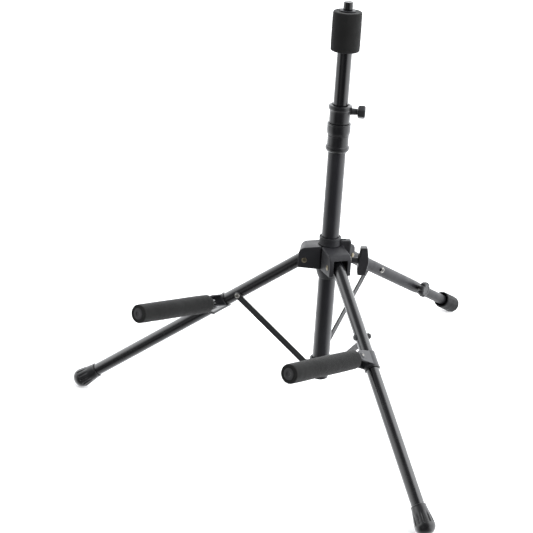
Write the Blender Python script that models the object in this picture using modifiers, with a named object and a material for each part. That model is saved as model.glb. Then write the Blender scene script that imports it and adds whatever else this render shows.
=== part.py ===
"""Folding tripod stand for a brass instrument: a leaning post with a foam-covered
peg, a hub with three folding legs, and two foam-covered support arms.

World frame: metres, +Z up, floor at z = 0, origin in the middle of the footprint.
The arms point to the front, -Y; the telescoping rear leg points to +Y, and the
post leans back towards it. Shapes are laid out in millimetres in a post frame:
Z up the post, origin where the front leg axes meet it. The matrix "root" tilts
and lifts that frame into the world.
"""

import math

import bmesh
import bpy
from mathutils import Matrix, Vector

MILLI = 0.001           # millimetres to metres

# ---------------------------------------------------------------- dimensions, mm
# _R is a radius, _Z a height in the post frame, and _AT a distance along a leg
# axis from where it meets the post axis.
GAP = 0.3               # clearance between neighbouring pieces

# Stance
LEAN = 5.364            # degrees, post leans back
APEX_HEIGHT = 253.7     # leg apex above the floor
APEX_Y = -44.81         # apex from the middle of the footprint
SPREAD = 59.2           # degrees, front legs either side of the front
FRONT_ANGLE = 54.35     # degrees between post and front legs
REAR_ANGLE = 61.4       # degrees between post and rear leg
REAR_DROP = 4.8         # rear leg axis meets the post this far lower

# Post and rod
POST_R, POST_BORE_R = 12.7, 11.2
POST_BOTTOM, POST_TOP = -211.0, 176.0
ROD_R, ROD_BORE_R = 10.55, 9.0
ROD_BOTTOM, ROD_TOP = -20.0, 334.0
FOAM_BOTTOM, FOAM_TOP, FOAM_R = 282.6, 336.9, 20.4

# Height collar
COLLAR_BOTTOM, COLLAR_RING_TOP = 139.0, 146.5
COLLAR_SLEEVE_TOP, COLLAR_BAND_TOP = 162.9, 180.6
COLLAR_FLANGE_BOTTOM, COLLAR_TOP = 199.6, 206.5
THUMB_AZIMUTH = 35.0    # degrees from +X towards the rear
THUMB_Z = 197.6
THUMB_HOLE_R = 3.3

# Hub
HUB_R, HUB_BORE_R = 16.5, 13.0
HUB_REACH = 43.8        # outer end of each leg housing from the post axis
HUB_HALF_WIDTH = 16.4
HUB_MOUTH_HALF = 10.9
HUB_SKIRT_Z = -36.0
KNOB_AZIMUTH = 41.0     # degrees from +X towards the rear
KNOB_Z = -26.0

# Legs
LEG_R, LEG_BORE_R = 9.2, 7.7
LEG_START_AT, LEG_END_AT = 34.5, 424.0
FOOT_SEAM_AT = 416.7
PIVOT_AT, PIVOT_PIN_R = 41.7, 2.4
REAR_TUBE_R, REAR_TUBE_BORE_R = 9.25, 8.3
REAR_TUBE_END_AT = 292.0
REAR_INNER_R, REAR_INNER_BORE_R = 8.0, 6.6
REAR_INNER_START_AT, REAR_INNER_END_AT = 240.0, 418.0
REAR_SCREW_AT = 281.0
REAR_FOOT_START_AT = 386.0
REAR_FOOT_R = 13.3
REAR_FOOT_SINK = 1.4    # rim reaches this far below the floor before it is cut

# Braces, from each leg down to the brace collar
BRACE_AT, REAR_BRACE_AT = 158.4, 151.0
BRACE_BOLT_R = 2.2
BRACE_OFFSET = 10.75    # brace plane beside the leg's middle plane
REAR_BRACE_OFFSET = 14.5    # held off the rear tube by a spacer
BRACE_THICK, BRACE_WIDTH = 2.5, 9.0
BRACE_LOW_HOLE_R = 2.2
LINK_Z, LINK_R = -191.5, 19.0   # lower brace joints: height, distance from the post axis
BRACE_COLLAR_R = 16.3
TAB_THICK, TAB_INSET = 5.4, 4.35    # inset: tab middle from the brace plane
TAB_HALF_HEIGHT, TAB_NOSE_R = 6.5, 5.5
TAB_NOSE_REACH = LINK_R + 1
TAB_ROOT, REAR_TAB_ROOT = 14.6, 12.2    # inner end of the tabs
TAB_HOLE_R = 2.0

# Arms
LEFT_ARM_AT, RIGHT_ARM_AT = 187.0, 189.5    # where the arm axes cross the leg axes
ARM_RISE = 11.16        # degrees above the plane square to the post
ARM_PIVOT, ARM_REACH = 25.0, 189.0      # fold pin and tip, from the leg axis
ARM_FOAM_START, ARM_FOAM_R, ARM_R = 35.5, 13.3, 6.5
ARM_ROD_SHORT = 6.0     # the rod stops this far short of the tip
ARM_HOLE_R = 3.4
BRACKET_R = 10.9
BRACKET_BELOW, BRACKET_ABOVE = 6.0, 19.0    # extent either side of the arm's station
EAR_THICK, EAR_LIFT, EAR_EYE_R = 2.0, 8.3, 6.2
EAR_ROOT_R = 0.5
EAR_ROOTS = (-5.4, 17.8)    # ear corners along the leg axis

# How far hole cutters reach either side of the middle
HUB_CUT, TUBE_CUT, ARM_CUT, BAR_CUT = 30.0, 20.0, 15.0, 10.0

# Segments round turned pieces
ROUND = 24              # larger pieces
HUB_ROUND = 28          # hub and its bores
SMALL = 14              # fasteners
TINY = 12               # brace bolt holes and rivets

# ---------------------------------------------------------------- clean scene
for old in list(bpy.data.objects):
    bpy.data.objects.remove(old, do_unlink=True)
for group in (bpy.data.meshes, bpy.data.curves, bpy.data.materials):
    for old in list(group):
        group.remove(old)
for old in list(bpy.data.collections):
    bpy.data.collections.remove(old)

parts = bpy.data.collections.new("instrument_stand")
cutters = bpy.data.collections.new("cutters")
for made in (parts, cutters):
    bpy.context.scene.collection.children.link(made)
cutters.hide_render = True

# ---------------------------------------------------------------- materials
FINISHES = {
    "tube": dict(colour=(0.020, 0.020, 0.023), roughness=0.38, metallic=0.25),
    "plastic": dict(colour=(0.028, 0.028, 0.031), roughness=0.55, metallic=0.0),
    "foam": dict(colour=(0.014, 0.014, 0.014), roughness=0.95, metallic=0.0),
    "rubber": dict(colour=(0.012, 0.012, 0.012), roughness=0.45, metallic=0.0),
    "steel": dict(colour=(0.62, 0.61, 0.58), roughness=0.30, metallic=1.0),
    "bar": dict(colour=(0.045, 0.045, 0.045), roughness=0.50, metallic=0.2),
}


def paint(name, colour, roughness, metallic):
    material = bpy.data.materials.new(name)
    material.use_nodes = True
    shader = material.node_tree.nodes["Principled BSDF"]
    shader.inputs["Base Color"].default_value = (*colour, 1.0)
    shader.inputs["Roughness"].default_value = roughness
    shader.inputs["Metallic"].default_value = metallic
    return material


# ---------------------------------------------------------------- frames
UP = Vector((0, 0, 1))
POST = Matrix.Identity(4)


def shift(x=0.0, y=0.0, z=0.0):
    return Matrix.Translation((x * MILLI, y * MILLI, z * MILLI))


root = shift(y=APEX_Y, z=APEX_HEIGHT) @ Matrix.Rotation(-math.radians(LEAN), 4, "X")
bodies = {}             # name: (empty, world matrix)


def axes(origin, z, x):
    """Frame at origin (mm, post frame) with its Z along z and X near x."""
    z = Vector(z).normalized()
    x = Vector(x)
    x = (x - z * x.dot(z)).normalized()
    y = z.cross(x)
    turn = Matrix((x, y, z)).transposed().to_4x4()
    return Matrix.Translation(Vector(origin) * MILLI) @ turn


def direction(azimuth):
    """Unit vector square to the post, azimuth in degrees from +X towards the rear."""
    angle = math.radians(azimuth)
    return Vector((math.cos(angle), math.sin(angle), 0.0))


def radial_frame(azimuth, height, reach=0.0):
    """Frame with Z straight out from the post and X up."""
    out = direction(azimuth)
    return axes(out * reach + UP * height, out, UP)


def upright_frame(out, height=0.0):
    """Frame on the post axis with X along out and Y up."""
    return axes(UP * height, out.cross(UP), out)


def body(name, frame, parent=None):
    """An empty on a joint's axis, which the pieces of one body hang from."""
    empty = bpy.data.objects.new(name, None)
    empty.empty_display_size = 0.02
    parts.objects.link(empty)
    world = root @ frame
    if parent is None:
        empty.matrix_basis = world
    else:
        owner, owner_world = bodies[parent]
        empty.parent = owner
        empty.matrix_basis = owner_world.inverted() @ world
    bodies[name] = (empty, world)


# ---------------------------------------------------------------- shape helpers
def add_piece(name, mesh, frame, parent, kind):
    """Object at a frame, hung from a body; without a finish it is a hidden helper."""
    obj = bpy.data.objects.new(name, mesh)
    if kind is None:
        cutters.objects.link(obj)
        obj.hide_render = True
        obj.display_type = "WIRE"
    else:
        parts.objects.link(obj)
        mesh.materials.append(paint(name + "_" + kind, **FINISHES[kind]))
    owner, world = bodies[parent]
    obj.parent = owner
    obj.matrix_basis = world.inverted() @ root @ frame
    return obj


def lathe(name, profile, frame, parent, kind=None, steps=ROUND, loop=False):
    """Shape turned round Z from a profile of (radius, height) points in mm.

    A loop profile closes on itself, which leaves a bore; the others start and
    end on the axis.
    """
    mesh = bpy.data.meshes.new(name)
    points = [(radius * MILLI, 0.0, z * MILLI) for radius, z in profile]
    edges = [(i, i + 1) for i in range(len(points) - 1)]
    if loop:
        edges.append((len(points) - 1, 0))
    mesh.from_pydata(points, edges, [])
    obj = add_piece(name, mesh, frame, parent, kind)
    turn = obj.modifiers.new("turn", "SCREW")
    turn.axis = "Z"
    turn.steps = turn.render_steps = steps
    turn.use_merge_vertices = True
    turn.merge_threshold = 0.00001
    turn.use_smooth_shade = True
    return obj


def rod(radius, low, high):
    """Profile of a solid cylinder."""
    return [(0, high), (radius, high), (radius, low), (0, low)]


def pipe(radius, bore, low, high):
    """Loop profile of a tube."""
    return [(radius, high), (radius, low), (bore, low), (bore, high)]


def plate(name, outline, thick, frame, parent, kind=None):
    """Flat outline (mm, in the frame's XY plane) with a thickness centred on Z."""
    curve = bpy.data.curves.new(name, "CURVE")
    curve.dimensions = "2D"
    curve.fill_mode = "BOTH"
    curve.extrude = thick * MILLI / 2
    line = curve.splines.new("POLY")
    line.points.add(len(outline) - 1)
    for point, (x, y) in zip(line.points, outline):
        point.co = (x * MILLI, y * MILLI, 0, 1)
    line.use_cyclic_u = True
    drawn = bpy.data.objects.new(name + "_outline", curve)
    parts.objects.link(drawn)
    graph = bpy.context.evaluated_depsgraph_get()
    mesh = bpy.data.meshes.new_from_object(drawn.evaluated_get(graph))
    mesh.name = name
    bpy.data.objects.remove(drawn, do_unlink=True)
    bpy.data.curves.remove(curve)
    work = bmesh.new()
    work.from_mesh(mesh)
    bmesh.ops.remove_doubles(work, verts=work.verts, dist=1e-6)
    bmesh.ops.dissolve_limit(
        work, angle_limit=0.001, verts=work.verts, edges=work.edges
    )
    bmesh.ops.recalc_face_normals(work, faces=work.faces)
    work.to_mesh(mesh)
    work.free()
    mesh.materials.clear()
    return add_piece(name, mesh, frame, parent, kind)


def box(name, size, frame, parent):
    """Helper box centred on the frame's origin."""
    mesh = bpy.data.meshes.new(name)
    work = bmesh.new()
    bmesh.ops.create_cube(work, size=1.0)
    bmesh.ops.scale(work, vec=Vector(size) * MILLI, verts=work.verts)
    work.to_mesh(mesh)
    work.free()
    return add_piece(name, mesh, frame, parent, None)


def combine(obj, tool, operation="DIFFERENCE"):
    step = obj.modifiers.new(operation.lower() + "_" + tool.name, "BOOLEAN")
    step.operation = operation
    step.solver = "EXACT"
    step.object = tool


def drill(obj, name, profile, frame, parent, steps=ROUND):
    """Cut a turned helper out of obj."""
    tool = lathe(name, profile, frame, parent, steps=steps)
    combine(obj, tool)
    return tool


def cut_flutes(obj, name, count, first, profile, reach, frame, parent, steps):
    """Cut even flutes round a knob; first is the first one's place in flute pitches."""
    for i in range(count):
        turn = Matrix.Rotation(2 * math.pi * (i + first) / count, 4, "Z")
        drill(obj, "%s_%d" % (name, i), profile, frame @ turn @ shift(x=reach),
              parent, steps)


def bevel(obj, width, segments, angle):
    step = obj.modifiers.new("ease", "BEVEL")
    step.width = width * MILLI
    step.segments = segments
    step.limit_method = "ANGLE"
    step.angle_limit = math.radians(angle)


def arc(centre_x, centre_y, radius, start, end, steps):
    """Points of an arc, ends included; start and end in half turns."""
    points = []
    for i in range(steps + 1):
        angle = math.pi * (start + (end - start) * i / steps)
        points.append((centre_x + radius * math.cos(angle),
                       centre_y + radius * math.sin(angle)))
    return points


def circle(centre_x, centre_y, radius, steps):
    return arc(centre_x, centre_y, radius, 0, 2, steps)[:-1]


def fillet(corners, steps):
    """Outline of (x, y, corner radius) rows with its corners rounded."""
    outline = []
    for i, (x, y, radius) in enumerate(corners):
        if radius <= 0:
            outline.append((x, y))
            continue
        corner = Vector((x, y))
        before = (Vector(corners[i - 1][:2]) - corner).normalized()
        after = (Vector(corners[(i + 1) % len(corners)][:2]) - corner).normalized()
        half = math.acos(max(-1.0, min(1.0, before.dot(after)))) / 2
        centre = corner + (before + after).normalized() * (radius / math.sin(half))
        first = corner + before * (radius / math.tan(half)) - centre
        sign = 1.0 if first.x * after.y - first.y * after.x > 0 else -1.0
        for k in range(steps + 1):
            angle = sign * (math.pi - 2 * half) * k / steps
            outline.append((
                centre.x + first.x * math.cos(angle) - first.y * math.sin(angle),
                centre.y + first.x * math.sin(angle) + first.y * math.cos(angle),
            ))
    return outline


def hull(points):
    """Convex outline round the points, counter-clockwise."""
    points = sorted(set((round(x, 6), round(y, 6)) for x, y in points))

    def half_outline(run):
        kept = []
        for point in run:
            while len(kept) > 1 and (
                (kept[-1][0] - kept[-2][0]) * (point[1] - kept[-2][1])
                - (kept[-1][1] - kept[-2][1]) * (point[0] - kept[-2][0])
            ) <= 0:
                kept.pop()
            kept.append(point)
        return kept[:-1]

    return half_outline(points) + half_outline(points[::-1])


# ---------------------------------------------------------------- legs and joints
arm_tilt = math.radians(ARM_RISE)
FORWARD = Vector((0, -math.cos(arm_tilt), math.sin(arm_tilt)))      # along both arms


class Leg:
    """Directions and joint frames of one leg and its brace, in the post frame."""

    def __init__(self, name, azimuth, angle, drop, tube_r, brace_at, brace_side, tab_root):
        self.name = name
        self.prefix = name if name == "rear" else "front_" + name
        self.body = name + "_leg_frame"
        self.tube_r = tube_r
        self.brace_side = brace_side
        self.tab_root = tab_root
        self.out = direction(azimuth)
        self.side = UP.cross(self.out)
        tilt = math.radians(angle)
        self.along = self.out * math.sin(tilt) - UP * math.cos(tilt)
        self.start = Vector((0, 0, -drop))
        # Z towards the foot, Y towards the leg's side
        self.axis = axes(self.point(0.0), self.along, self.side.cross(self.along))
        self.pivot = self.cross_frame(PIVOT_AT)
        self.bolt = self.cross_frame(brace_at)
        self.link = axes(self.out * LINK_R + UP * LINK_Z, self.side, self.out)
        # Brace frame: X down the bar from its upper hole, Z towards the leg's side
        top = self.point(brace_at, brace_side)
        low = self.out * LINK_R + UP * LINK_Z + self.side * brace_side
        self.brace_length = (low - top).length
        self.brace = axes(top, self.side, low - top)

    def point(self, station, side=0.0):
        return self.start + self.along * station + self.side * side

    def frame(self, station):
        return axes(self.point(station), self.along, self.side.cross(self.along))

    def cross_frame(self, station):
        """Frame on the leg axis with Z across the leg."""
        return axes(self.point(station), self.side, self.out)

    def add_arm(self, station):
        self.arm_at = station
        across = (self.along - FORWARD * self.along.dot(FORWARD)).normalized()
        fold = FORWARD.cross(across)
        # X along the arm, Y towards the foot, Z along the fold pin
        self.arm = axes(self.point(station), fold, FORWARD)
        self.hinge = self.arm @ shift(x=ARM_PIVOT)
        # Z along the arm, for its turned pieces
        self.arm_axis = axes(self.point(station), FORWARD, fold)


left, right = (
    Leg(name, azimuth, FRONT_ANGLE, 0.0, LEG_R, BRACE_AT, BRACE_OFFSET, TAB_ROOT)
    for name, azimuth in (("left", -90.0 - SPREAD), ("right", -90.0 + SPREAD))
)
rear = Leg("rear", 90.0, REAR_ANGLE, REAR_DROP, REAR_TUBE_R, REAR_BRACE_AT,
           REAR_BRACE_OFFSET, REAR_TAB_ROOT)
LEGS = (left, right, rear)
left.add_arm(LEFT_ARM_AT)
right.add_arm(RIGHT_ARM_AT)

thumb = radial_frame(THUMB_AZIMUTH, THUMB_Z)
knob = radial_frame(KNOB_AZIMUTH, KNOB_Z)
rear_screw = axes(rear.point(REAR_SCREW_AT), (1, 0, 0), rear.along)

# ---------------------------------------------------------------- bodies
body("post_body", POST)
body("hub_body_frame", POST, "post_body")
body("rod_frame", shift(z=COLLAR_TOP), "post_body")
body("height_screw_frame", thumb, "post_body")
body("hub_knob_frame", knob, "hub_body_frame")
for leg in LEGS:
    body(leg.body, leg.frame(PIVOT_AT), "hub_body_frame")
    body(leg.name + "_brace_frame", leg.brace, leg.body)
for leg in (left, right):
    body(leg.name + "_arm_frame", leg.hinge, leg.body)
body("rear_extension_frame", rear.frame(REAR_TUBE_END_AT), rear.body)
body("rear_screw_frame", rear_screw, rear.body)

# ---------------------------------------------------------------- post
lathe("lower_post", pipe(POST_R, POST_BORE_R, POST_BOTTOM, POST_TOP),
      POST, "post_body", "tube", loop=True)
lathe("post_end_cap",
      [(0, POST_BOTTOM + 14), (10.0, POST_BOTTOM + 14), (10.9, POST_BOTTOM + 12),
       (10.9, POST_BOTTOM - GAP), (POST_R, POST_BOTTOM - GAP),
       (POST_R, POST_BOTTOM - 1.8), (POST_R - 1.2, POST_BOTTOM - 3.2),
       (0, POST_BOTTOM - 3.6)],
      POST, "post_body", "plastic")

# ---------------------------------------------------------------- brace collar
# Ring that the three braces hang on, with one upright tab for each.
brace_collar = lathe(
    "brace_collar",
    [(HUB_BORE_R, LINK_Z + 9.0), (15.6, LINK_Z + 9.0), (BRACE_COLLAR_R, LINK_Z + 8.0),
     (BRACE_COLLAR_R, LINK_Z - 8.0), (15.6, LINK_Z - 9.0), (HUB_BORE_R, LINK_Z - 9.0)],
    POST, "post_body", "plastic", loop=True)
for leg in LEGS:
    tab_frame = axes(leg.side * (leg.brace_side - TAB_INSET) + UP * LINK_Z,
                     leg.side, leg.out)
    tab_outline = ([(leg.tab_root, -TAB_HALF_HEIGHT)]
                   + arc(TAB_NOSE_REACH, 0, TAB_NOSE_R, -0.5, 0.5, 6)
                   + [(leg.tab_root, TAB_HALF_HEIGHT)])
    tab = plate(leg.name + "_collar_tab", tab_outline, TAB_THICK, tab_frame, "post_body")
    combine(brace_collar, tab, "UNION")
for leg in LEGS:
    drill(brace_collar, leg.name + "_tab_hole",
          rod(TAB_HOLE_R, leg.brace_side - 8.5, leg.brace_side + 1.2),
          leg.link, "post_body", TINY)
lathe("brace_collar_screw",
      [(0, 2.2), (2.0, 2.1), (3.4, 1.4), (3.7, 0.3), (0, 0.3)],
      radial_frame(-90, LINK_Z, BRACE_COLLAR_R), "post_body", "steel", steps=SMALL)

# ---------------------------------------------------------------- height collar
# Sleeve, band and clamp housing, one above the other at the top of the lower post.
lathe("height_collar_sleeve",
      [(HUB_BORE_R, COLLAR_SLEEVE_TOP), (15.5, COLLAR_SLEEVE_TOP),
       (15.55, COLLAR_RING_TOP + 1.2), (16.6, COLLAR_RING_TOP),
       (17.0, COLLAR_RING_TOP - 1.2), (17.0, COLLAR_BOTTOM + 3.6),
       (15.6, COLLAR_BOTTOM + 0.6), (14.6, COLLAR_BOTTOM),
       (HUB_BORE_R, COLLAR_BOTTOM)],
      POST, "post_body", "plastic", loop=True)
lathe("height_collar_band",
      [(HUB_BORE_R, COLLAR_BAND_TOP - 4.9), (HUB_BORE_R, COLLAR_BAND_TOP),
       (16.6, COLLAR_BAND_TOP), (16.9, COLLAR_BAND_TOP - 2.0),
       (16.8, COLLAR_SLEEVE_TOP + 5.0), (16.0, COLLAR_SLEEVE_TOP + 1.0),
       (15.5, COLLAR_SLEEVE_TOP + GAP), (HUB_BORE_R, COLLAR_SLEEVE_TOP + GAP)],
      POST, "post_body", "plastic", loop=True)
housing = lathe(
    "height_collar_housing",
    [(0, COLLAR_TOP), (15.6, COLLAR_TOP), (16.65, COLLAR_TOP - 1.2),
     (16.65, COLLAR_FLANGE_BOTTOM + 1.4), (15.4, COLLAR_FLANGE_BOTTOM),
     (14.85, COLLAR_FLANGE_BOTTOM - 1.0), (14.85, COLLAR_BAND_TOP + GAP),
     (0, COLLAR_BAND_TOP + GAP)],
    POST, "post_body", "plastic")
boss = lathe("height_screw_boss", rod(6.6, 8.0, 17.2), thumb, "post_body", steps=SMALL)
combine(housing, boss, "UNION")
drill(housing, "height_collar_bore", rod(12.0, COLLAR_BAND_TOP - 3, COLLAR_TOP + 3),
      POST, "post_body")
thumb_hole = drill(housing, "height_screw_hole", rod(THUMB_HOLE_R, 5.0, 25.0),
                   thumb, "post_body", SMALL)
bushing = lathe("rod_guide_bushing",
                pipe(11.7, ROD_R + GAP, COLLAR_BAND_TOP + 1.4, COLLAR_TOP - 1.0),
                POST, "post_body", "plastic", loop=True)
combine(bushing, thumb_hole)

# Thumb screw that clamps the rod: stem and fluted knob.
lathe("height_screw_stem",
      [(0, 24.0), (4.6, 24.0), (4.6, 17.6), (3.0, 17.6), (3.0, 11.2), (0, 10.9)],
      thumb, "height_screw_frame", "steel", steps=SMALL)
height_knob = lathe(
    "height_screw_knob",
    [(0, 36.2), (7.2, 36.2), (9.0, 34.6), (9.2, 31.0), (8.9, 26.4), (7.6, 24.6),
     (6.4, 24.3), (0, 24.3)],
    thumb, "height_screw_frame", "plastic", steps=18)
cut_flutes(height_knob, "height_knob_groove", count=6, first=0.5,
           profile=rod(1.6, 20.0, 40.0), reach=10.1,
           frame=thumb, parent="height_screw_frame", steps=10)

# ---------------------------------------------------------------- rod and peg
lathe("upper_rod", pipe(ROD_R, ROD_BORE_R, ROD_BOTTOM, ROD_TOP), POST, "rod_frame",
      "tube", loop=True)
lathe("rod_end_plug",
      [(0, ROD_BOTTOM + 10), (8.7, ROD_BOTTOM + 10), (8.7, ROD_BOTTOM - GAP),
       (10.8, ROD_BOTTOM - GAP), (10.8, ROD_BOTTOM - 5), (10.0, ROD_BOTTOM - 6),
       (0, ROD_BOTTOM - 6)],
      POST, "rod_frame", "plastic", steps=18)
lathe("peg_foam",
      [(ROD_R + GAP, FOAM_TOP - 0.4), (FOAM_R - 2.6, FOAM_TOP),
       (FOAM_R - 0.7, FOAM_TOP - 0.9), (FOAM_R, FOAM_TOP - 3.0),
       (FOAM_R, FOAM_BOTTOM + 3.0), (FOAM_R - 0.7, FOAM_BOTTOM + 0.9),
       (FOAM_R - 2.6, FOAM_BOTTOM), (ROD_R + GAP, FOAM_BOTTOM + 0.4)],
      POST, "rod_frame", "foam", loop=True)
lathe("peg_washer",
      [(5.0, FOAM_TOP + 1.9), (10.6, FOAM_TOP + 1.9), (11.2, FOAM_TOP + 1.3),
       (11.2, FOAM_TOP + GAP), (5.0, FOAM_TOP + GAP)],
      POST, "rod_frame", "plastic", steps=20, loop=True)
lathe("peg_cap",
      [(0, FOAM_TOP + 13.2), (5.2, FOAM_TOP + 13.2), (6.0, FOAM_TOP + 12.4),
       (6.35, FOAM_TOP + 2.2), (4.7, FOAM_TOP + 2.2), (4.7, FOAM_TOP - 12.0),
       (0, FOAM_TOP - 12.0)],
      POST, "rod_frame", "plastic", steps=18)

# ---------------------------------------------------------------- hub
# Leg housing seen from the side: distance from the post axis, height, corner radius.
HOUSING_CORNERS = [
    (10.6, -1.2, 0), (34.5, -5.2, 4.0), (41.2, -9.6, 3.0),
    (HUB_REACH, -15.5, 3.0), (HUB_REACH, HUB_SKIRT_Z, 1.6), (10.6, HUB_SKIRT_Z, 0),
]
# Slot the leg swings in, open outwards and downwards: distance, height.
MOUTH_OUTLINE = [
    (19.5, -8.5), (38.5, -10.6), (40.5, -12.8), (60.0, -12.8), (60.0, -70.0),
    (19.5, -70.0),
]
CLAMP_BLOCK_SIZE = (42.0, 13.0, 19.0)   # up the post, across, outwards
CLAMP_BLOCK_Z, CLAMP_BLOCK_REACH = -15.5, 21.5
HUB_CUT_TOP = 30.0      # the bores run out above the hub up to here

hub = lathe(
    "hub_casting",
    [(0, -5.0), (15.4, -5.0), (HUB_R, -6.2), (HUB_R, -31.0), (17.8, -34.0),
     (17.8, -38.0), (16.6, -43.5), (14.4, -50.0), (13.6, -52.6), (0, -52.6)],
    POST, "hub_body_frame", "plastic", steps=HUB_ROUND)
housing_outline = fillet(HOUSING_CORNERS, steps=3)
for leg in LEGS:
    shell = plate(leg.name + "_housing", housing_outline, 2 * HUB_HALF_WIDTH,
                  upright_frame(leg.out), "hub_body_frame")
    bevel(shell, width=1.2, segments=1, angle=35.0)
    combine(hub, shell, "UNION")
clamp_block = box("clamp_block", CLAMP_BLOCK_SIZE,
                  radial_frame(KNOB_AZIMUTH, CLAMP_BLOCK_Z, CLAMP_BLOCK_REACH),
                  "hub_body_frame")
bevel(clamp_block, width=1.0, segments=1, angle=35.0)
combine(hub, clamp_block, "UNION")
# Bore for the post, then the stepped seat of the top ring: radius, lower end.
for name, radius, bottom in (("hub_bore", HUB_BORE_R, -80),
                             ("hub_ring_seat", 15.5, -4.7),
                             ("hub_ring_relief", 16.0, -0.8)):
    drill(hub, name, rod(radius, bottom, HUB_CUT_TOP), POST, "hub_body_frame", HUB_ROUND)
drill(hub, "hub_knob_hole", rod(3.6, 8.0, 60.0), knob, "hub_body_frame", SMALL)
for leg in LEGS:
    mouth = plate(leg.name + "_mouth", MOUTH_OUTLINE, 2 * HUB_MOUTH_HALF,
                  upright_frame(leg.out), "hub_body_frame")
    combine(hub, mouth)
    drill(hub, leg.name + "_pin_hole", rod(PIVOT_PIN_R + GAP, -HUB_CUT, HUB_CUT),
          leg.pivot, "hub_body_frame", SMALL)
    face = HUB_HALF_WIDTH
    lathe(leg.name + "_leg_pivot_pin",
          [(0, face + 1.5), (2.6, face + 1.3), (3.9, face + GAP),
           (PIVOT_PIN_R, face + GAP), (PIVOT_PIN_R, -face - GAP),
           (3.9, -face - GAP), (2.6, -face - 1.3), (0, -face - 1.5)],
          leg.pivot, "hub_body_frame", "steel", steps=SMALL)
lathe("hub_top_ring",
      [(HUB_BORE_R, 8.4), (14.2, 8.6), (14.6, 10.4), (15.2, 10.4), (15.7, 9.6),
       (15.7, -0.4), (15.2, -0.9), (15.2, -4.4), (HUB_BORE_R, -4.4)],
      POST, "hub_body_frame", "plastic", steps=HUB_ROUND, loop=True)

# Clamp screw and its two-winged knob.
lathe("hub_clamp_screw",
      [(0, 43.2), (4.4, 43.2), (4.4, 31.3), (3.2, 31.3), (3.2, 14.0), (0, 13.6)],
      knob, "hub_knob_frame", "steel", steps=SMALL)
# Knob outline: distance from the post axis, height above the screw axis.
WING_OUTLINE = [
    (43.5, -20.6), (53.4, -20.9), (56.2, -12.0), (57.6, 0.0), (56.2, 12.0),
    (53.4, 20.9), (45.6, 20.6), (44.6, 10.0), (43.5, 8.0), (43.5, -8.0), (42.6, -12.0),
]
WING_THICK = 12.5
wing = plate("hub_knob", WING_OUTLINE, WING_THICK,
             upright_frame(direction(KNOB_AZIMUTH), KNOB_Z), "hub_knob_frame", "plastic")
bevel(wing, width=1.4, segments=2, angle=40.0)

# ---------------------------------------------------------------- legs
# Everything below the floor plane is cut off the feet.
FLOOR_SIZE = (2000, 2000, 40)
floor = box("floor_cut", FLOOR_SIZE, root.inverted() @ shift(z=-FLOOR_SIZE[2] / 2),
            "post_body")


def drill_joints(tube, leg):
    """Holes through a leg tube for its pivot pin and brace bolt."""
    drill(tube, leg.name + "_leg_pin_hole", rod(PIVOT_PIN_R + GAP, -TUBE_CUT, TUBE_CUT),
          leg.pivot, leg.body, SMALL)
    drill(tube, leg.name + "_leg_bolt_hole", rod(BRACE_BOLT_R + GAP, -TUBE_CUT, TUBE_CUT),
          leg.bolt, leg.body, TINY)


for leg in (left, right):
    tube = lathe(leg.prefix + "_leg", pipe(LEG_R, LEG_BORE_R, LEG_START_AT, LEG_END_AT),
                 leg.axis, leg.body, "tube", loop=True)
    drill_joints(tube, leg)
    foot = lathe(
        leg.prefix + "_foot",
        [(0, 457.4), (3.6, 457.2), (7.4, 456.2), (11.0, 453.6), (13.4, 449.6),
         (14.1, 446.0), (13.9, 442.0), (11.0, FOOT_SEAM_AT + 1.2), (10.4, FOOT_SEAM_AT),
         (LEG_R + GAP, FOOT_SEAM_AT), (LEG_R + GAP, LEG_END_AT + GAP),
         (0, LEG_END_AT + GAP)],
        leg.axis, leg.body, "rubber", steps=20)
    combine(foot, floor)

# Rear leg: outer tube, slightly tapered at its lower end, and the tube inside it.
rear_tube = lathe("rear_leg_outer",
                  [(REAR_TUBE_R - 0.4, REAR_TUBE_END_AT),
                   (REAR_TUBE_BORE_R, REAR_TUBE_END_AT),
                   (REAR_TUBE_BORE_R, LEG_START_AT), (REAR_TUBE_R, LEG_START_AT),
                   (REAR_TUBE_R, REAR_TUBE_END_AT - 3)],
                  rear.axis, rear.body, "tube", loop=True)
drill_joints(rear_tube, rear)
drill(rear_tube, "rear_screw_hole", rod(3.2, 2.0, 20.0), rear_screw, rear.body, SMALL)
lathe("rear_leg_inner", pipe(REAR_INNER_R, REAR_INNER_BORE_R, REAR_INNER_START_AT,
                             REAR_INNER_END_AT),
      rear.axis, "rear_extension_frame", "tube", steps=20, loop=True)

# The foot ends where its lowest rim point is REAR_FOOT_SINK below the floor.
rear_height = APEX_HEIGHT - REAR_DROP * math.cos(math.radians(LEAN))
rear_slope = math.radians(REAR_ANGLE - LEAN)    # rear leg from the vertical
foot_end = ((rear_height + REAR_FOOT_SINK - REAR_FOOT_R * math.sin(rear_slope))
            / math.cos(rear_slope))
rear_foot = lathe(
    "rear_foot",
    [(0, foot_end + 2.6), (8.0, foot_end + 2.4), (12.2, foot_end + 1.4),
     (REAR_FOOT_R, foot_end), (REAR_FOOT_R, REAR_FOOT_START_AT + 2.0),
     (12.4, REAR_FOOT_START_AT), (REAR_INNER_R + 2.6, REAR_FOOT_START_AT),
     (REAR_INNER_R + 1.6, REAR_FOOT_START_AT + 5.0),
     (REAR_INNER_R + GAP, REAR_FOOT_START_AT + 5.0),
     (REAR_INNER_R + GAP, REAR_INNER_END_AT + GAP), (0, REAR_INNER_END_AT + GAP)],
    rear.axis, "rear_extension_frame", "rubber", steps=14)
combine(rear_foot, floor)

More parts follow.
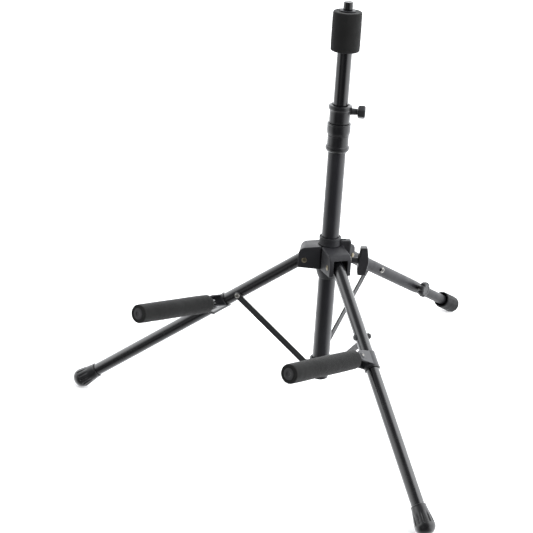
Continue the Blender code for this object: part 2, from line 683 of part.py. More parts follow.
# Screw that clamps the inner tube: stem and fluted knob.
lathe("rear_screw_stem",
      [(0, 14.6), (4.2, 14.6), (4.2, 9.9), (2.9, 9.9), (2.9, REAR_INNER_R + 0.35),
       (0, REAR_INNER_R + 0.35)],
      rear_screw, "rear_screw_frame", "steel", steps=SMALL)
rear_knob = lathe(
    "rear_screw_knob",
    [(0, 24.6), (8.0, 24.6), (11.2, 23.4), (12.3, 21.0), (12.3, 17.4), (11.0, 15.4),
     (8.0, 14.9), (0, 14.9)],
    rear_screw, "rear_screw_frame", "plastic", steps=21)
cut_flutes(rear_knob, "rear_knob_flute", count=7, first=0,
           profile=rod(3.0, 10.0, 30.0), reach=14.2,
           frame=rear_screw, parent="rear_screw_frame", steps=12)

# ---------------------------------------------------------------- braces
for leg in LEGS:
    owner = leg.name + "_brace_frame"
    bar_outline = (arc(leg.brace_length, 0, BRACE_WIDTH / 2, -0.5, 0.5, 8)
                   + arc(0, 0, BRACE_WIDTH / 2, 0.5, 1.5, 8))
    bar = plate(leg.prefix + "_brace", bar_outline, BRACE_THICK, leg.brace, owner, "bar")
    low_frame = leg.brace @ shift(x=leg.brace_length)
    drill(bar, leg.name + "_brace_top_hole", rod(BRACE_BOLT_R + GAP, -BAR_CUT, BAR_CUT),
          leg.brace, owner, TINY)
    drill(bar, leg.name + "_brace_low_hole", rod(BRACE_LOW_HOLE_R, -BAR_CUT, BAR_CUT),
          low_frame, owner, TINY)
    outside = leg.brace_side + BRACE_THICK / 2
    lathe(leg.prefix + "_brace_bolt",
          [(0, outside + 2.3), (2.2, outside + 2.1), (3.9, outside + GAP),
           (BRACE_BOLT_R, outside + GAP), (BRACE_BOLT_R, -leg.tube_r - 2.6),
           (0, -leg.tube_r - 2.9)],
          leg.bolt, leg.body, "steel", steps=SMALL)
    lathe(leg.prefix + "_brace_nut",
          pipe(4.0, 2.75, -leg.tube_r - 2.2, -leg.tube_r - GAP),
          leg.bolt, leg.body, "steel", steps=6, loop=True)
    if leg is rear:
        lathe("rear_brace_spacer",
              pipe(4.6, 2.9, leg.tube_r + GAP, outside - BRACE_THICK - GAP),
              leg.bolt, leg.body, "steel", steps=SMALL, loop=True)
    # The lower rivet stays in the bar and ends just short of the collar tab.
    lathe(leg.prefix + "_brace_rivet",
          [(0, 3.1), (2.0, 2.9), (3.6, 1.55), (1.9, 1.55), (1.9, -1.2), (0, -1.2)],
          low_frame, owner, "steel", steps=TINY)


# ---------------------------------------------------------------- arms
def ear_outline(leg):
    """Bracket ear in the arm frame: two corners on the leg axis and an eye."""
    share = leg.along.dot(FORWARD)
    rise = math.sqrt(1 - share * share)
    rim = []
    for station in EAR_ROOTS:
        rim += circle(station * share, station * rise, EAR_ROOT_R, 8)
    return hull(rim + circle(ARM_PIVOT, 0, EAR_EYE_R, 24))


def build_bracket(leg):
    """Sleeve on the leg with two ears that hold the arm."""
    name, station = leg.name, leg.arm_at
    bracket = lathe(name + "_arm_bracket",
                    rod(BRACKET_R, station - BRACKET_BELOW, station + BRACKET_ABOVE),
                    leg.axis, leg.body, "plastic")
    # The fold pin axis points down on the left, so there the names are swapped.
    for tag, lift in (("upper", EAR_LIFT), ("lower", -EAR_LIFT)):
        ear = plate("%s_bracket_%s_ear" % (name, tag), ear_outline(leg), EAR_THICK,
                    leg.arm @ shift(z=lift), leg.body)
        combine(bracket, ear, "UNION")
    drill(bracket, name + "_bracket_bore", rod(LEG_R + GAP, 170, 220), leg.axis, leg.body)
    drill(bracket, name + "_bracket_hole", rod(ARM_HOLE_R, -ARM_CUT, ARM_CUT),
          leg.hinge, leg.body, SMALL)
    lathe(name + "_bracket_ring",
          [(LEG_R + GAP, station + 21.6), (10.9, station + 21.6),
           (11.3, station + 21.1), (11.3, station + 19.9), (10.9, station + 19.4),
           (LEG_R + GAP, station + 19.4)],
          leg.axis, leg.body, "rubber", steps=20, loop=True)
    lathe(name + "_arm_rivet",
          [(2.1, 10.3), (4.2, 10.3), (4.4, 9.6), (3.1, 9.6), (3.1, -9.6), (4.4, -9.6),
           (4.2, -10.3), (2.1, -10.3)],
          leg.hinge, leg.body, "steel", steps=SMALL, loop=True)


def build_arm(leg):
    """Round-ended rod with its foam cover and end plug."""
    name, owner = leg.name, leg.name + "_arm_frame"
    rod_end = ARM_REACH - ARM_ROD_SHORT
    arm = lathe(name + "_arm_rod",
                [(0, rod_end), (ARM_R, rod_end), (ARM_R, ARM_PIVOT)]
                + arc(0, ARM_PIVOT, ARM_R, 0, -0.5, 6)[1:-1]
                + [(0, ARM_PIVOT - ARM_R)],
                leg.arm_axis, owner, "tube", steps=18)
    drill(arm, name + "_arm_hole", rod(ARM_HOLE_R, -ARM_CUT, ARM_CUT), leg.hinge, owner,
          SMALL)
    lathe(name + "_arm_foam",
          [(ARM_R + GAP, ARM_REACH - 4.4), (8.4, ARM_REACH - 3.4),
           (8.9, ARM_REACH - 0.6), (ARM_FOAM_R - 2.2, ARM_REACH),
           (ARM_FOAM_R - 0.6, ARM_REACH - 0.8), (ARM_FOAM_R, ARM_REACH - 2.8),
           (ARM_FOAM_R, ARM_FOAM_START + 3.6), (ARM_FOAM_R - 0.9, ARM_FOAM_START + 1.2),
           (ARM_FOAM_R - 3.2, ARM_FOAM_START), (ARM_R + GAP, ARM_FOAM_START)],
          leg.arm_axis, owner, "foam", steps=20, loop=True)
    lathe(name + "_arm_end_plug",
          [(0, ARM_REACH - 0.7), (6.6, ARM_REACH - 0.8), (7.4, ARM_REACH - 1.4),
           (7.4, ARM_REACH - 3.2), (6.2, ARM_REACH - 4.0), (6.2, ARM_REACH - 5.7),
           (0, ARM_REACH - 5.7)],
          leg.arm_axis, owner, "plastic", steps=18)


for leg in (left, right):
    build_bracket(leg)
    build_arm(leg)

# ---------------------------------------------------------------- shading
# Turned pieces are already smooth; flat ones keep their edges sharp.
for obj in parts.objects:
    if obj.type == "MESH" and not any(step.type == "SCREW" for step in obj.modifiers):
        obj.data.shade_smooth()
        obj.data.set_sharp_from_angle(angle=math.radians(35))
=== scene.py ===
"""Looks of a folding instrument stand: fine meshes and procedural materials on its CAD frame.

X is right, -Y front and Z up. Sizes are in mm in the stand's own frame, whose origin is the
apex where the front leg axes meet the post. Its Z runs up the post, which leans back.
"""

import math

import bmesh
import bpy
from mathutils import Matrix, Vector, noise


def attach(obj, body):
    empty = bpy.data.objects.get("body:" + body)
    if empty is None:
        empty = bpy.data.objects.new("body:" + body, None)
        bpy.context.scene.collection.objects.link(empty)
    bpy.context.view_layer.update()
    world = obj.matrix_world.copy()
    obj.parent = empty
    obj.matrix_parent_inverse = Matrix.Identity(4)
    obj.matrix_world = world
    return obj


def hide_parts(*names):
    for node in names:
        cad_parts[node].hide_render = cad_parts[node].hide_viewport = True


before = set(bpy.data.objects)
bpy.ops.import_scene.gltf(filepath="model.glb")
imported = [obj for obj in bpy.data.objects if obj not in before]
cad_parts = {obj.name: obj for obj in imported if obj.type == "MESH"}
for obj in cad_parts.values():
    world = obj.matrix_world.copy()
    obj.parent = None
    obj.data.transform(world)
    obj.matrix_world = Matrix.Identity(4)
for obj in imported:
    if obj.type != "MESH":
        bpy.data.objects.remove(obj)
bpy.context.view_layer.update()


# ------------------------------------------------------------------ dimensions
# _Z is a height along the post, _ALONG a distance down a leg and _AZIMUTH is in degrees from +X.
MM = 0.001
LEAN = 5.364
APEX_HEIGHT = 253.7
APEX_Y = -44.81
SPREAD = 59.2  # front legs either side of straight ahead, degrees
FRONT_ANGLE = 54.35  # leg from the post axis, degrees
REAR_ANGLE = 61.4
REAR_DROP = 4.8  # start of the rear leg axis under the apex

POST_RADIUS = 12.7
POST_BOTTOM = -211.0
POST_TOP = 176.0
COVER_GAP = 0.3
ROD_RADIUS = 10.55
ROD_BOTTOM = -20.0
ROD_TOP = 334.0
COLLAR_BOTTOM = 139.0
COLLAR_TOP = 206.5
THUMB_AZIMUTH = 35.0
THUMB_Z = 197.6
PEG_FOAM_BOTTOM = 283.2
PEG_FOAM_TOP = 338.0
PEG_FOAM_RADIUS = 20.4

BORE_RADIUS = 13.0  # hub and collars round the post
HUB_RADIUS = 16.5
HUB_REACH = 43.1
HUB_HALF_WIDTH = 16.6
HUB_MOUTH_HALF = 10.7
HUB_SKIRT_Z = -36.6
KNOB_AZIMUTH = 41.0
KNOB_Z = -26.0

LEG_RADIUS = 9.2
LEG_START = 34.5
LEG_END = 424.0
PIVOT_ALONG = 41.7
FOOT_SEAM = 416.7
REAR_TUBE_RADIUS = 9.25
REAR_TUBE_END = 292.0
REAR_INNER_RADIUS = 8.0
REAR_INNER_START = 240.0
REAR_INNER_END = 418.0
REAR_SCREW_ALONG = 281.0
REAR_FOOT_START = 386.0

BRACE_ALONG = {"left": 158.4, "right": 158.4, "rear": 151.0}
BRACE_OFFSET = {"left": 10.75, "right": 10.75, "rear": 14.5}
BRACE_THICK = 2.5
BRACE_WIDTH = 9.0
LINK_Z = -191.5
LINK_REACH = 19.0  # post axis to the lower brace rivets
TAB_INSET = 4.35  # middle of a collar tab to the middle of its brace

# Place along the leg, sleeve length above that place, and foam noise seed.
ARMS = {"left": (187.0, 6.0, 2.0), "right": (189.5, 3.6, 5.7)}
ARM_RISE = 11.16
ARM_PIVOT = 25.0
ARM_REACH = 189.0
ARM_FOAM_START = 35.5
ARM_FOAM_RADIUS = 13.45
ARM_RADIUS = 6.5
EAR_LIFT = 8.3

CAMERA_FROM_APEX = (1.15675, -1.61794, 0.92831)  # metres
VIEW_AZIMUTH = math.radians(38.197)
VIEW_DOWN = math.radians(25.94)

STAND = Matrix.Translation((0, APEX_Y * MM, APEX_HEIGHT * MM)) @ Matrix.Rotation(
    -math.radians(LEAN), 4, "X"
)
POST = Matrix.Identity(4)
UP = Vector((0, 0, 1))


def axes(origin, z, x):
    """Frame at a point in mm, with its Z along z and its X as near to x as it can be."""
    z = Vector(z).normalized()
    x = Vector(x)
    x = (x - z * x.dot(z)).normalized()
    y = z.cross(x)
    return Matrix.Translation(Vector(origin) * MM) @ Matrix((x, y, z)).transposed().to_4x4()


def polar(azimuth, reach, z=0.0):
    angle = math.radians(azimuth)
    return Vector((reach * math.cos(angle), reach * math.sin(angle), z))


def bearing(place, direction):
    """Angle round a frame's Z at which a direction lies."""
    local = place.to_3x3().inverted() @ direction
    return math.atan2(local.y, local.x)


class Leg:
    """A leg axis: out points away from the post, side across the leg, along down it."""

    def __init__(self, azimuth, angle, drop=0.0):
        self.out = polar(azimuth, 1.0)
        self.side = UP.cross(self.out)
        tilt = math.radians(angle)
        self.along = self.out * math.sin(tilt) - UP * math.cos(tilt)
        self.start = Vector((0, 0, -drop))

    def at(self, distance, side=0.0):
        return self.start + self.along * distance + self.side * side

    def frame(self):
        return axes(self.at(0.0), self.along, self.side.cross(self.along))

    def cross_pin(self, distance):
        return axes(self.at(distance), self.side, self.out)

    def cheek(self):
        """Upright plane through the post: X outward, Y up, Z across the leg."""
        return axes((0, 0, 0), self.out.cross(UP), self.out)


LEGS = {
    "left": Leg(-90.0 - SPREAD, FRONT_ANGLE),
    "right": Leg(-90.0 + SPREAD, FRONT_ANGLE),
    "rear": Leg(90.0, REAR_ANGLE, REAR_DROP),
}


# ------------------------------------------------------------------ materials
class Paint:
    """A Principled material and short ways to wire procedural detail into it."""

    def __init__(self, name):
        self.mat = bpy.data.materials.new(name)
        self.mat.use_nodes = True
        self.tree = self.mat.node_tree
        self.bsdf = self.tree.nodes["Principled BSDF"]
        self.coords = self.tree.nodes.new("ShaderNodeTexCoord").outputs["Object"]
        self.normal = None

    def add(self, kind, **values):
        node = self.tree.nodes.new(kind)
        for key, value in values.items():
            if hasattr(node, key):
                setattr(node, key, value)
            else:
                node.inputs[key].default_value = value
        return node

    def link(self, source, target):
        self.tree.links.new(source, target)

    def noise(self, scale, detail=3.0, rough=0.5):
        node = self.add("ShaderNodeTexNoise", Scale=scale, Detail=detail, Roughness=rough)
        self.link(self.coords, node.inputs["Vector"])
        return node.outputs["Fac"]

    def cells(self, scale):
        node = self.add("ShaderNodeTexVoronoi", Scale=scale)
        self.link(self.coords, node.inputs["Vector"])
        return node.outputs["Distance"]

    def spread(self, value, low, high, start=0.3, end=0.7):
        """Maps start..end to low..high."""
        node = self.add("ShaderNodeMapRange")
        node.inputs["From Min"].default_value = start
        node.inputs["From Max"].default_value = end
        node.inputs["To Min"].default_value = low
        node.inputs["To Max"].default_value = high
        self.link(value, node.inputs["Value"])
        return node.outputs["Result"]

    def blend(self, factor, first, second):
        """Mixes two colours or colour outputs; sockets 6, 7 and 2 are the colour ones."""
        node = self.add("ShaderNodeMix", data_type="RGBA")
        self.link(factor, node.inputs["Factor"])
        for socket, colour in ((6, first), (7, second)):
            if isinstance(colour, tuple):
                node.inputs[socket].default_value = (*colour, 1.0)
            else:
                self.link(colour, node.inputs[socket])
        return node.outputs[2]

    def bump(self, height, strength, distance):
        """Adds a bump on top of any earlier one."""
        node = self.add("ShaderNodeBump", Strength=strength, Distance=distance)
        self.link(height, node.inputs["Height"])
        if self.normal is not None:
            self.link(self.normal, node.inputs["Normal"])
        self.normal = node.outputs["Normal"]
        self.link(self.normal, self.bsdf.inputs["Normal"])

    def edges(self):
        # Mask of convex edges from pointiness, where the plastics put a painted highlight.
        geometry = self.add("ShaderNodeNewGeometry")
        return self.spread(geometry.outputs["Pointiness"], low=0.0, high=1.0,
                           start=0.52, end=0.60)

    def set(self, **values):
        for key, value in values.items():
            socket = self.bsdf.inputs[key.replace("_", " ")]
            if hasattr(value, "is_linked"):
                self.link(value, socket)
            elif isinstance(value, tuple):
                socket.default_value = (*value, 1.0)
            else:
                socket.default_value = value


def tube_paint(name, dark, pale, rough, specular):
    paint = Paint(name)
    mottle = paint.noise(scale=38.0, detail=4.0)
    paint.set(
        Base_Color=paint.blend(mottle, dark, pale),
        Roughness=paint.spread(paint.noise(scale=60.0, detail=5.0, rough=0.6),
                               low=rough - 0.05, high=rough + 0.06),
        Specular_IOR_Level=specular,
    )
    paint.bump(paint.noise(scale=1500.0, detail=2.0), strength=0.08, distance=0.00012)
    return paint.mat


def plastic_paint(name, dark, pale, edge_highlight, rough, grain, specular=0.45):
    """Grained plastic whose convex edges are paler: a painted highlight where rounded edges
    catch the light.
    """
    paint = Paint(name)
    body = paint.blend(paint.noise(scale=55.0, detail=4.0), dark, pale)
    paint.set(
        # convex edges take the paler painted highlight colour over the body tone
        Base_Color=paint.blend(paint.edges(), body, edge_highlight),
        Roughness=paint.spread(paint.noise(scale=90.0, detail=4.0),
                               low=rough - 0.06, high=rough + 0.06),
        Specular_IOR_Level=specular,
    )
    paint.bump(paint.noise(scale=2600.0, detail=2.0), strength=grain, distance=0.0001)
    return paint.mat


def foam_paint(name):
    # pores are darkened in colour: painted shade in the cell hollows
    pore_shade = (0.0045, 0.0045, 0.0045)
    dark = (0.0062, 0.0062, 0.0062)
    pale = (0.0110, 0.0110, 0.0108)
    paint = Paint(name)
    pores = paint.cells(scale=1150.0)
    grain = paint.noise(scale=700.0, detail=6.0, rough=0.7)
    patches = paint.spread(paint.noise(scale=26.0, detail=4.0), low=0.0, high=1.0)
    tone = paint.blend(patches, dark, pale)
    # painted shade: darker towards the middle of each pore
    pore_shade_mask = paint.spread(pores, low=1.0, high=0.0, start=0.05, end=0.42)
    paint.set(
        Base_Color=paint.blend(pore_shade_mask, tone, pore_shade),
        Roughness=0.93,
        Specular_IOR_Level=0.18,
        Sheen_Weight=0.10,
        Sheen_Roughness=0.5,
    )
    paint.bump(grain, strength=0.45, distance=0.0005)
    paint.bump(pores, strength=0.5, distance=0.0004)
    return paint.mat


def rubber_paint(name, rough, specular):
    dark = (0.004, 0.004, 0.0045)
    pale = (0.008, 0.008, 0.009)
    paint = Paint(name)
    paint.set(
        Base_Color=paint.blend(paint.noise(scale=70.0, detail=4.0), dark, pale),
        Roughness=paint.spread(paint.noise(scale=140.0, detail=5.0),
                               low=rough - 0.07, high=rough + 0.07),
        Specular_IOR_Level=specular,
    )
    paint.bump(paint.noise(scale=900.0, detail=3.0), strength=0.06, distance=0.0002)
    return paint.mat


def steel_paint(name, dark, pale, rough):
    paint = Paint(name)
    paint.set(
        Base_Color=paint.blend(paint.noise(scale=300.0, detail=4.0), dark, pale),
        Metallic=1.0,
        Roughness=paint.spread(paint.noise(scale=700.0, detail=4.0),
                               low=rough - 0.08, high=rough + 0.10),
    )
    paint.bump(paint.noise(scale=2200.0, detail=3.0), strength=0.08, distance=0.0001)
    return paint.mat


def bar_paint(name):
    dark = (0.016, 0.016, 0.017)
    pale = (0.026, 0.026, 0.027)
    paint = Paint(name)
    paint.set(
        Base_Color=paint.blend(paint.noise(scale=120.0, detail=5.0), dark, pale),
        Roughness=paint.spread(paint.noise(scale=200.0, detail=4.0), low=0.38, high=0.52),
        Specular_IOR_Level=0.5,
        Metallic=0.15,
    )
    paint.bump(paint.noise(scale=1300.0, detail=3.0), strength=0.1, distance=0.00012)
    return paint.mat


POWDER = tube_paint("black_powder_coat", dark=(0.003, 0.003, 0.0037),
                    pale=(0.005, 0.005, 0.006), rough=0.24, specular=0.82)
POST_COAT = tube_paint("black_post_coat", dark=(0.008, 0.008, 0.0098),
                       pale=(0.012, 0.012, 0.0145), rough=0.38, specular=0.42)
ROD_COAT = tube_paint("black_rod_coat", dark=(0.003, 0.003, 0.0036),
                      pale=(0.0045, 0.0045, 0.0055), rough=0.18, specular=0.58)
REAR_COAT = tube_paint("black_rear_coat", dark=(0.010, 0.010, 0.0115),
                       pale=(0.014, 0.014, 0.0165), rough=0.50, specular=0.22)
# each edge_highlight colour below is a painted highlight on rounded edges
MOULDED = plastic_paint("moulded_black", dark=(0.012, 0.012, 0.0135),
                        pale=(0.017, 0.017, 0.0195), edge_highlight=(0.06, 0.06, 0.065),
                        rough=0.50, grain=0.22, specular=0.28)
COLLAR = plastic_paint("collar_black", dark=(0.004, 0.004, 0.0047),
                       pale=(0.0065, 0.0065, 0.0075), edge_highlight=(0.045, 0.045, 0.05),
                       rough=0.33, grain=0.14)
KNOBS = plastic_paint("knob_black", dark=(0.012, 0.012, 0.013), pale=(0.017, 0.017, 0.019),
                      edge_highlight=(0.03, 0.03, 0.033), rough=0.45, grain=0.3)
CAP = plastic_paint("cap_black", dark=(0.003, 0.003, 0.0032), pale=(0.005, 0.005, 0.0054),
                    edge_highlight=(0.05, 0.05, 0.053), rough=0.26, grain=0.12)
END_DISC = plastic_paint("end_disc_black", dark=(0.006, 0.006, 0.0065),
                         pale=(0.009, 0.009, 0.0098), edge_highlight=(0.016, 0.016, 0.017),
                         rough=0.55, grain=0.2)
FOAM = foam_paint("closed_cell_foam")
RUBBER = rubber_paint("foot_rubber", rough=0.33, specular=0.55)
DULL_RUBBER = rubber_paint("dull_rubber", rough=0.60, specular=0.12)
ZINC = steel_paint("plated_steel", dark=(0.20, 0.195, 0.18), pale=(0.34, 0.33, 0.31), rough=0.42)
OLD_BRASS = steel_paint("old_brass", dark=(0.13, 0.115, 0.08), pale=(0.22, 0.19, 0.14),
                        rough=0.45)
BLACKENED = steel_paint("blackened_steel", dark=(0.05, 0.05, 0.052), pale=(0.09, 0.09, 0.092),
                        rough=0.42)
BAR = bar_paint("brace_steel")
BRACKET = plastic_paint("bracket_black", dark=(0.016, 0.016, 0.018), pale=(0.024, 0.024, 0.027),
                        edge_highlight=(0.04, 0.04, 0.045), rough=0.38, grain=0.15)


# ------------------------------------------------------------------ outlines
def clamp(value):
    return max(0.0, min(1.0, value))


def soften(points, radius, steps, closed):
    """Rounds the corners of a profile, with less where a run is short."""
    out = []
    count = len(points)
    for i, point in enumerate(points):
        if not closed and i in (0, count - 1):
            out.append(tuple(point))
            continue
        corner = Vector(point)
        before = Vector(points[i - 1]) - corner
        after = Vector(points[(i + 1) % count]) - corner
        cut = min(radius, before.length * 0.45, after.length * 0.45)
        before = corner + before.normalized() * cut
        after = corner + after.normalized() * cut
        for k in range(steps + 1):
            part = k / steps
            out.append(tuple(before * (1 - part) ** 2 + corner * 2 * part * (1 - part)
                             + after * part * part))
    return out


def between(start, end, step):
    """Values from start to end about a step apart."""
    count = max(1, round(abs(end - start) / step))
    return [start + (end - start) * i / count for i in range(count + 1)]


def dense(profile, step):
    """Adds points along a profile's long runs."""
    out = [profile[0]]
    for (r0, z0), (r1, z1) in zip(profile, profile[1:]):
        count = max(1, round(math.hypot(r1 - r0, z1 - z0) / step))
        out += [(r0 + (r1 - r0) * i / count, z0 + (z1 - z0) * i / count)
                for i in range(1, count + 1)]
    return out


def arc(x, y, radius, angles):
    return [(x + radius * math.cos(angle), y + radius * math.sin(angle)) for angle in angles]


def half_turn(start, steps):
    """Angles over a half circle; start is in half turns."""
    return [math.pi * (start + i / steps) for i in range(steps + 1)]


def fillet(corners, steps=6):
    """Closed outline with true arcs, from (x, y, corner radius)."""
    out = []
    points = [Vector((x, y)) for x, y, _ in corners]
    for i, point in enumerate(points):
        radius = corners[i][2]
        if radius <= 0:
            out.append(tuple(point))
            continue
        before = (points[i - 1] - point).normalized()
        after = (points[(i + 1) % len(points)] - point).normalized()
        half = math.acos(max(-1.0, min(1.0, before.dot(after)))) / 2
        centre = point + (before + after).normalized() * (radius / math.sin(half))
        first = point + before * (radius / math.tan(half)) - centre
        sign = 1.0 if first.x * after.y - first.y * after.x > 0 else -1.0
        for k in range(steps + 1):
            turn = sign * (math.pi - 2 * half) * k / steps
            out.append((centre.x + first.x * math.cos(turn) - first.y * math.sin(turn),
                        centre.y + first.x * math.sin(turn) + first.y * math.cos(turn)))
    return out


def hull(points):
    """Convex outline round the points."""
    points = sorted(set((round(x, 5), round(y, 5)) for x, y in points))

    def chain(run):
        out = []
        for point in run:
            while len(out) > 1 and (
                (out[-1][0] - out[-2][0]) * (point[1] - out[-2][1])
                - (out[-1][1] - out[-2][1]) * (point[0] - out[-2][0])
            ) <= 0:
                out.pop()
            out.append(point)
        return out[:-1]

    return chain(points) + chain(points[::-1])


def faceted(sides, share, radius_from, z_from=-math.inf, swell=1.0):
    """Shape for lathe that flattens the wall into sides; a share of 1 makes them flat."""
    def shape(radius, z, angle):
        if radius < radius_from or z < z_from:
            return radius
        off = angle % (2 * math.pi / sides) - math.pi / sides
        return radius * (1 - share + share * swell * math.cos(math.pi / sides) / math.cos(off))
    return shape


# ------------------------------------------------------------------ mesh tools
def finish_mesh(name, mesh, place, material, sharp):
    mesh.transform(STAND @ place)
    mesh.update()
    obj = bpy.data.objects.new(name, mesh)
    bpy.context.scene.collection.objects.link(obj)
    mesh.shade_smooth()
    if sharp:
        mesh.set_sharp_from_angle(angle=math.radians(sharp))
    if material is not None:
        mesh.materials.append(material)
    return obj


def lathe(name, profile, place, material=None, steps=72, ease=0.0, corner=4, closed=False,
          spacing=0.0, shape=None, sharp=40.0):
    """Turned mesh from (radius, height) points.

    Corners are rounded by ease in corner steps, and spacing splits long runs.
    shape(radius, z, angle) may change a point's radius.
    """
    if ease:
        profile = soften(profile, ease, corner, closed)
    if spacing:
        profile = dense(profile, spacing)
    verts, rings = [], []
    for radius, z in profile:
        if radius < 1e-6:
            rings.append([len(verts)])
            verts.append((0, 0, z * MM))
            continue
        rings.append(range(len(verts), len(verts) + steps))
        for i in range(steps):
            angle = 2 * math.pi * i / steps
            reach = shape(radius, z, angle) if shape else radius
            verts.append((reach * MM * math.cos(angle), reach * MM * math.sin(angle), z * MM))
    faces = []
    for ring, following in zip(rings, rings[1:] + (rings[:1] if closed else [])):
        for i in range(steps):
            j = (i + 1) % steps
            if len(ring) == 1:
                faces.append((ring[0], following[j], following[i]))
            elif len(following) == 1:
                faces.append((ring[i], ring[j], following[0]))
            else:
                faces.append((ring[i], ring[j], following[j], following[i]))
    mesh = bpy.data.meshes.new(name)
    mesh.from_pydata(verts, [], faces)
    work = bmesh.new()
    work.from_mesh(mesh)
    bmesh.ops.remove_doubles(work, verts=work.verts, dist=2e-7)
    bmesh.ops.recalc_face_normals(work, faces=work.faces)
    work.to_mesh(mesh)
    work.free()
    return finish_mesh(name, mesh, place, material, sharp)


def cutter(name, radius, low, high, place, steps=32):
    """Plain cylinder to cut with."""
    return lathe(name, [(0, high), (radius, high), (radius, low), (0, low)], place,
                 steps=steps, sharp=0)


def prism(name, outline, thick, place, material=None, bevel=0.0, segments=3, holes=()):
    """Flat plate with rounded edges and round holes (x, y, radius)."""
    curve = bpy.data.curves.new(name, "CURVE")
    curve.dimensions = "2D"
    curve.fill_mode = "BOTH"
    curve.extrude = thick * MM / 2
    hole_angles = [-2 * math.pi * i / 24 for i in range(24)]
    for points in [outline] + [arc(*hole, hole_angles) for hole in holes]:
        line = curve.splines.new("POLY")
        line.points.add(len(points) - 1)
        for point, (x, y) in zip(line.points, points):
            point.co = (x * MM, y * MM, 0, 1)
        line.use_cyclic_u = True
    drawn = bpy.data.objects.new(name + "_drawn", curve)
    bpy.context.scene.collection.objects.link(drawn)
    graph = bpy.context.evaluated_depsgraph_get()
    mesh = bpy.data.meshes.new_from_object(drawn.evaluated_get(graph))
    bpy.data.objects.remove(drawn, do_unlink=True)
    bpy.data.curves.remove(curve)
    work = bmesh.new()
    work.from_mesh(mesh)
    bmesh.ops.remove_doubles(work, verts=work.verts, dist=1e-6)
    bmesh.ops.dissolve_limit(work, angle_limit=0.001, verts=work.verts, edges=work.edges)
    bmesh.ops.recalc_face_normals(work, faces=work.faces)
    if bevel:
        rims = [e for e in work.edges if len(e.link_faces) == 2
                and e.calc_face_angle() > math.radians(50)
                and abs(abs(e.verts[0].co.z) - thick * MM / 2) < 1e-6
                and abs(e.verts[0].co.z - e.verts[1].co.z) < 1e-6]
        bmesh.ops.bevel(work, geom=rims, offset=bevel * MM, segments=segments,
                        affect="EDGES", profile=0.5)
    bmesh.ops.triangulate(work, faces=[f for f in work.faces if len(f.verts) > 4])
    work.to_mesh(mesh)
    work.free()
    mesh.materials.clear()
    mesh.name = name
    return finish_mesh(name, mesh, place, material, 35.0)


def block(name, size, place, bevel=0.0):
    mesh = bpy.data.meshes.new(name)
    work = bmesh.new()
    bmesh.ops.create_cube(work, size=1.0)
    bmesh.ops.scale(work, vec=Vector(size) * MM, verts=work.verts)
    if bevel:
        bmesh.ops.bevel(work, geom=list(work.edges), offset=bevel * MM, segments=3,
                        affect="EDGES", profile=0.5)
    work.to_mesh(mesh)
    work.free()
    return finish_mesh(name, mesh, place, None, 0)


def mould(name, adds, cuts, material, voxel, smooth):
    """Joins and cuts closed meshes, then remeshes them so that every edge is softly rounded."""
    base = adds[0]
    for tool, operation in [(t, "UNION") for t in adds[1:]] + [(t, "DIFFERENCE") for t in cuts]:
        step = base.modifiers.new("step", "BOOLEAN")
        step.operation = operation
        step.solver = "EXACT"
        step.object = tool
    skin = base.modifiers.new("skin", "REMESH")
    skin.mode = "VOXEL"
    skin.voxel_size = voxel * MM
    skin.adaptivity = 0.0
    ease = base.modifiers.new("ease", "SMOOTH")
    ease.factor = 0.5
    ease.iterations = smooth
    graph = bpy.context.evaluated_depsgraph_get()
    mesh = bpy.data.meshes.new_from_object(base.evaluated_get(graph))
    mesh.name = name
    for tool in adds + cuts:
        bpy.data.objects.remove(tool, do_unlink=True)
    made = bpy.data.objects.new(name, mesh)
    bpy.context.scene.collection.objects.link(made)
    mesh.materials.clear()
    mesh.materials.append(material)
    mesh.shade_smooth()
    return made


def use(obj, body, slot, *nodes):
    """The piece rides on a body and stands for CAD nodes; slot is not used."""
    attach(obj, body)
    if nodes:
        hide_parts(*nodes)


def pipe(name, radius, bore, low, high, place, material, ease=0.4, steps=96):
    wall = [(radius, high), (radius, low), (bore, low), (bore, high)]
    return lathe(name, wall, place, material, steps, ease, corner=3, closed=True)


def rivet(name, place, face, head, height, shank, hollow, material):
    """Rivet along Z with a domed head beyond each face; the +Z head has a hollow."""
    angles = [math.radians(degrees) for degrees in (20, 35, 50, 65, 78, 90)]
    profile = [(0.0, face + height * 0.25), (hollow * 0.8, face + height * 0.25),
               (hollow, face + height * 0.95)]
    profile += [(head * math.sin(a), face + 0.15 + (height - 0.15) * math.cos(a))
                for a in angles if head * math.sin(a) > hollow + 0.1]
    profile += [(shank, face), (shank, -face)]
    profile += [(head * math.sin(a), -face - 0.15 - (height - 0.15) * math.cos(a))
                for a in reversed(angles)]
    profile += [(0.0, -face - height)]
    return lathe(name, profile, place, material, steps=40)


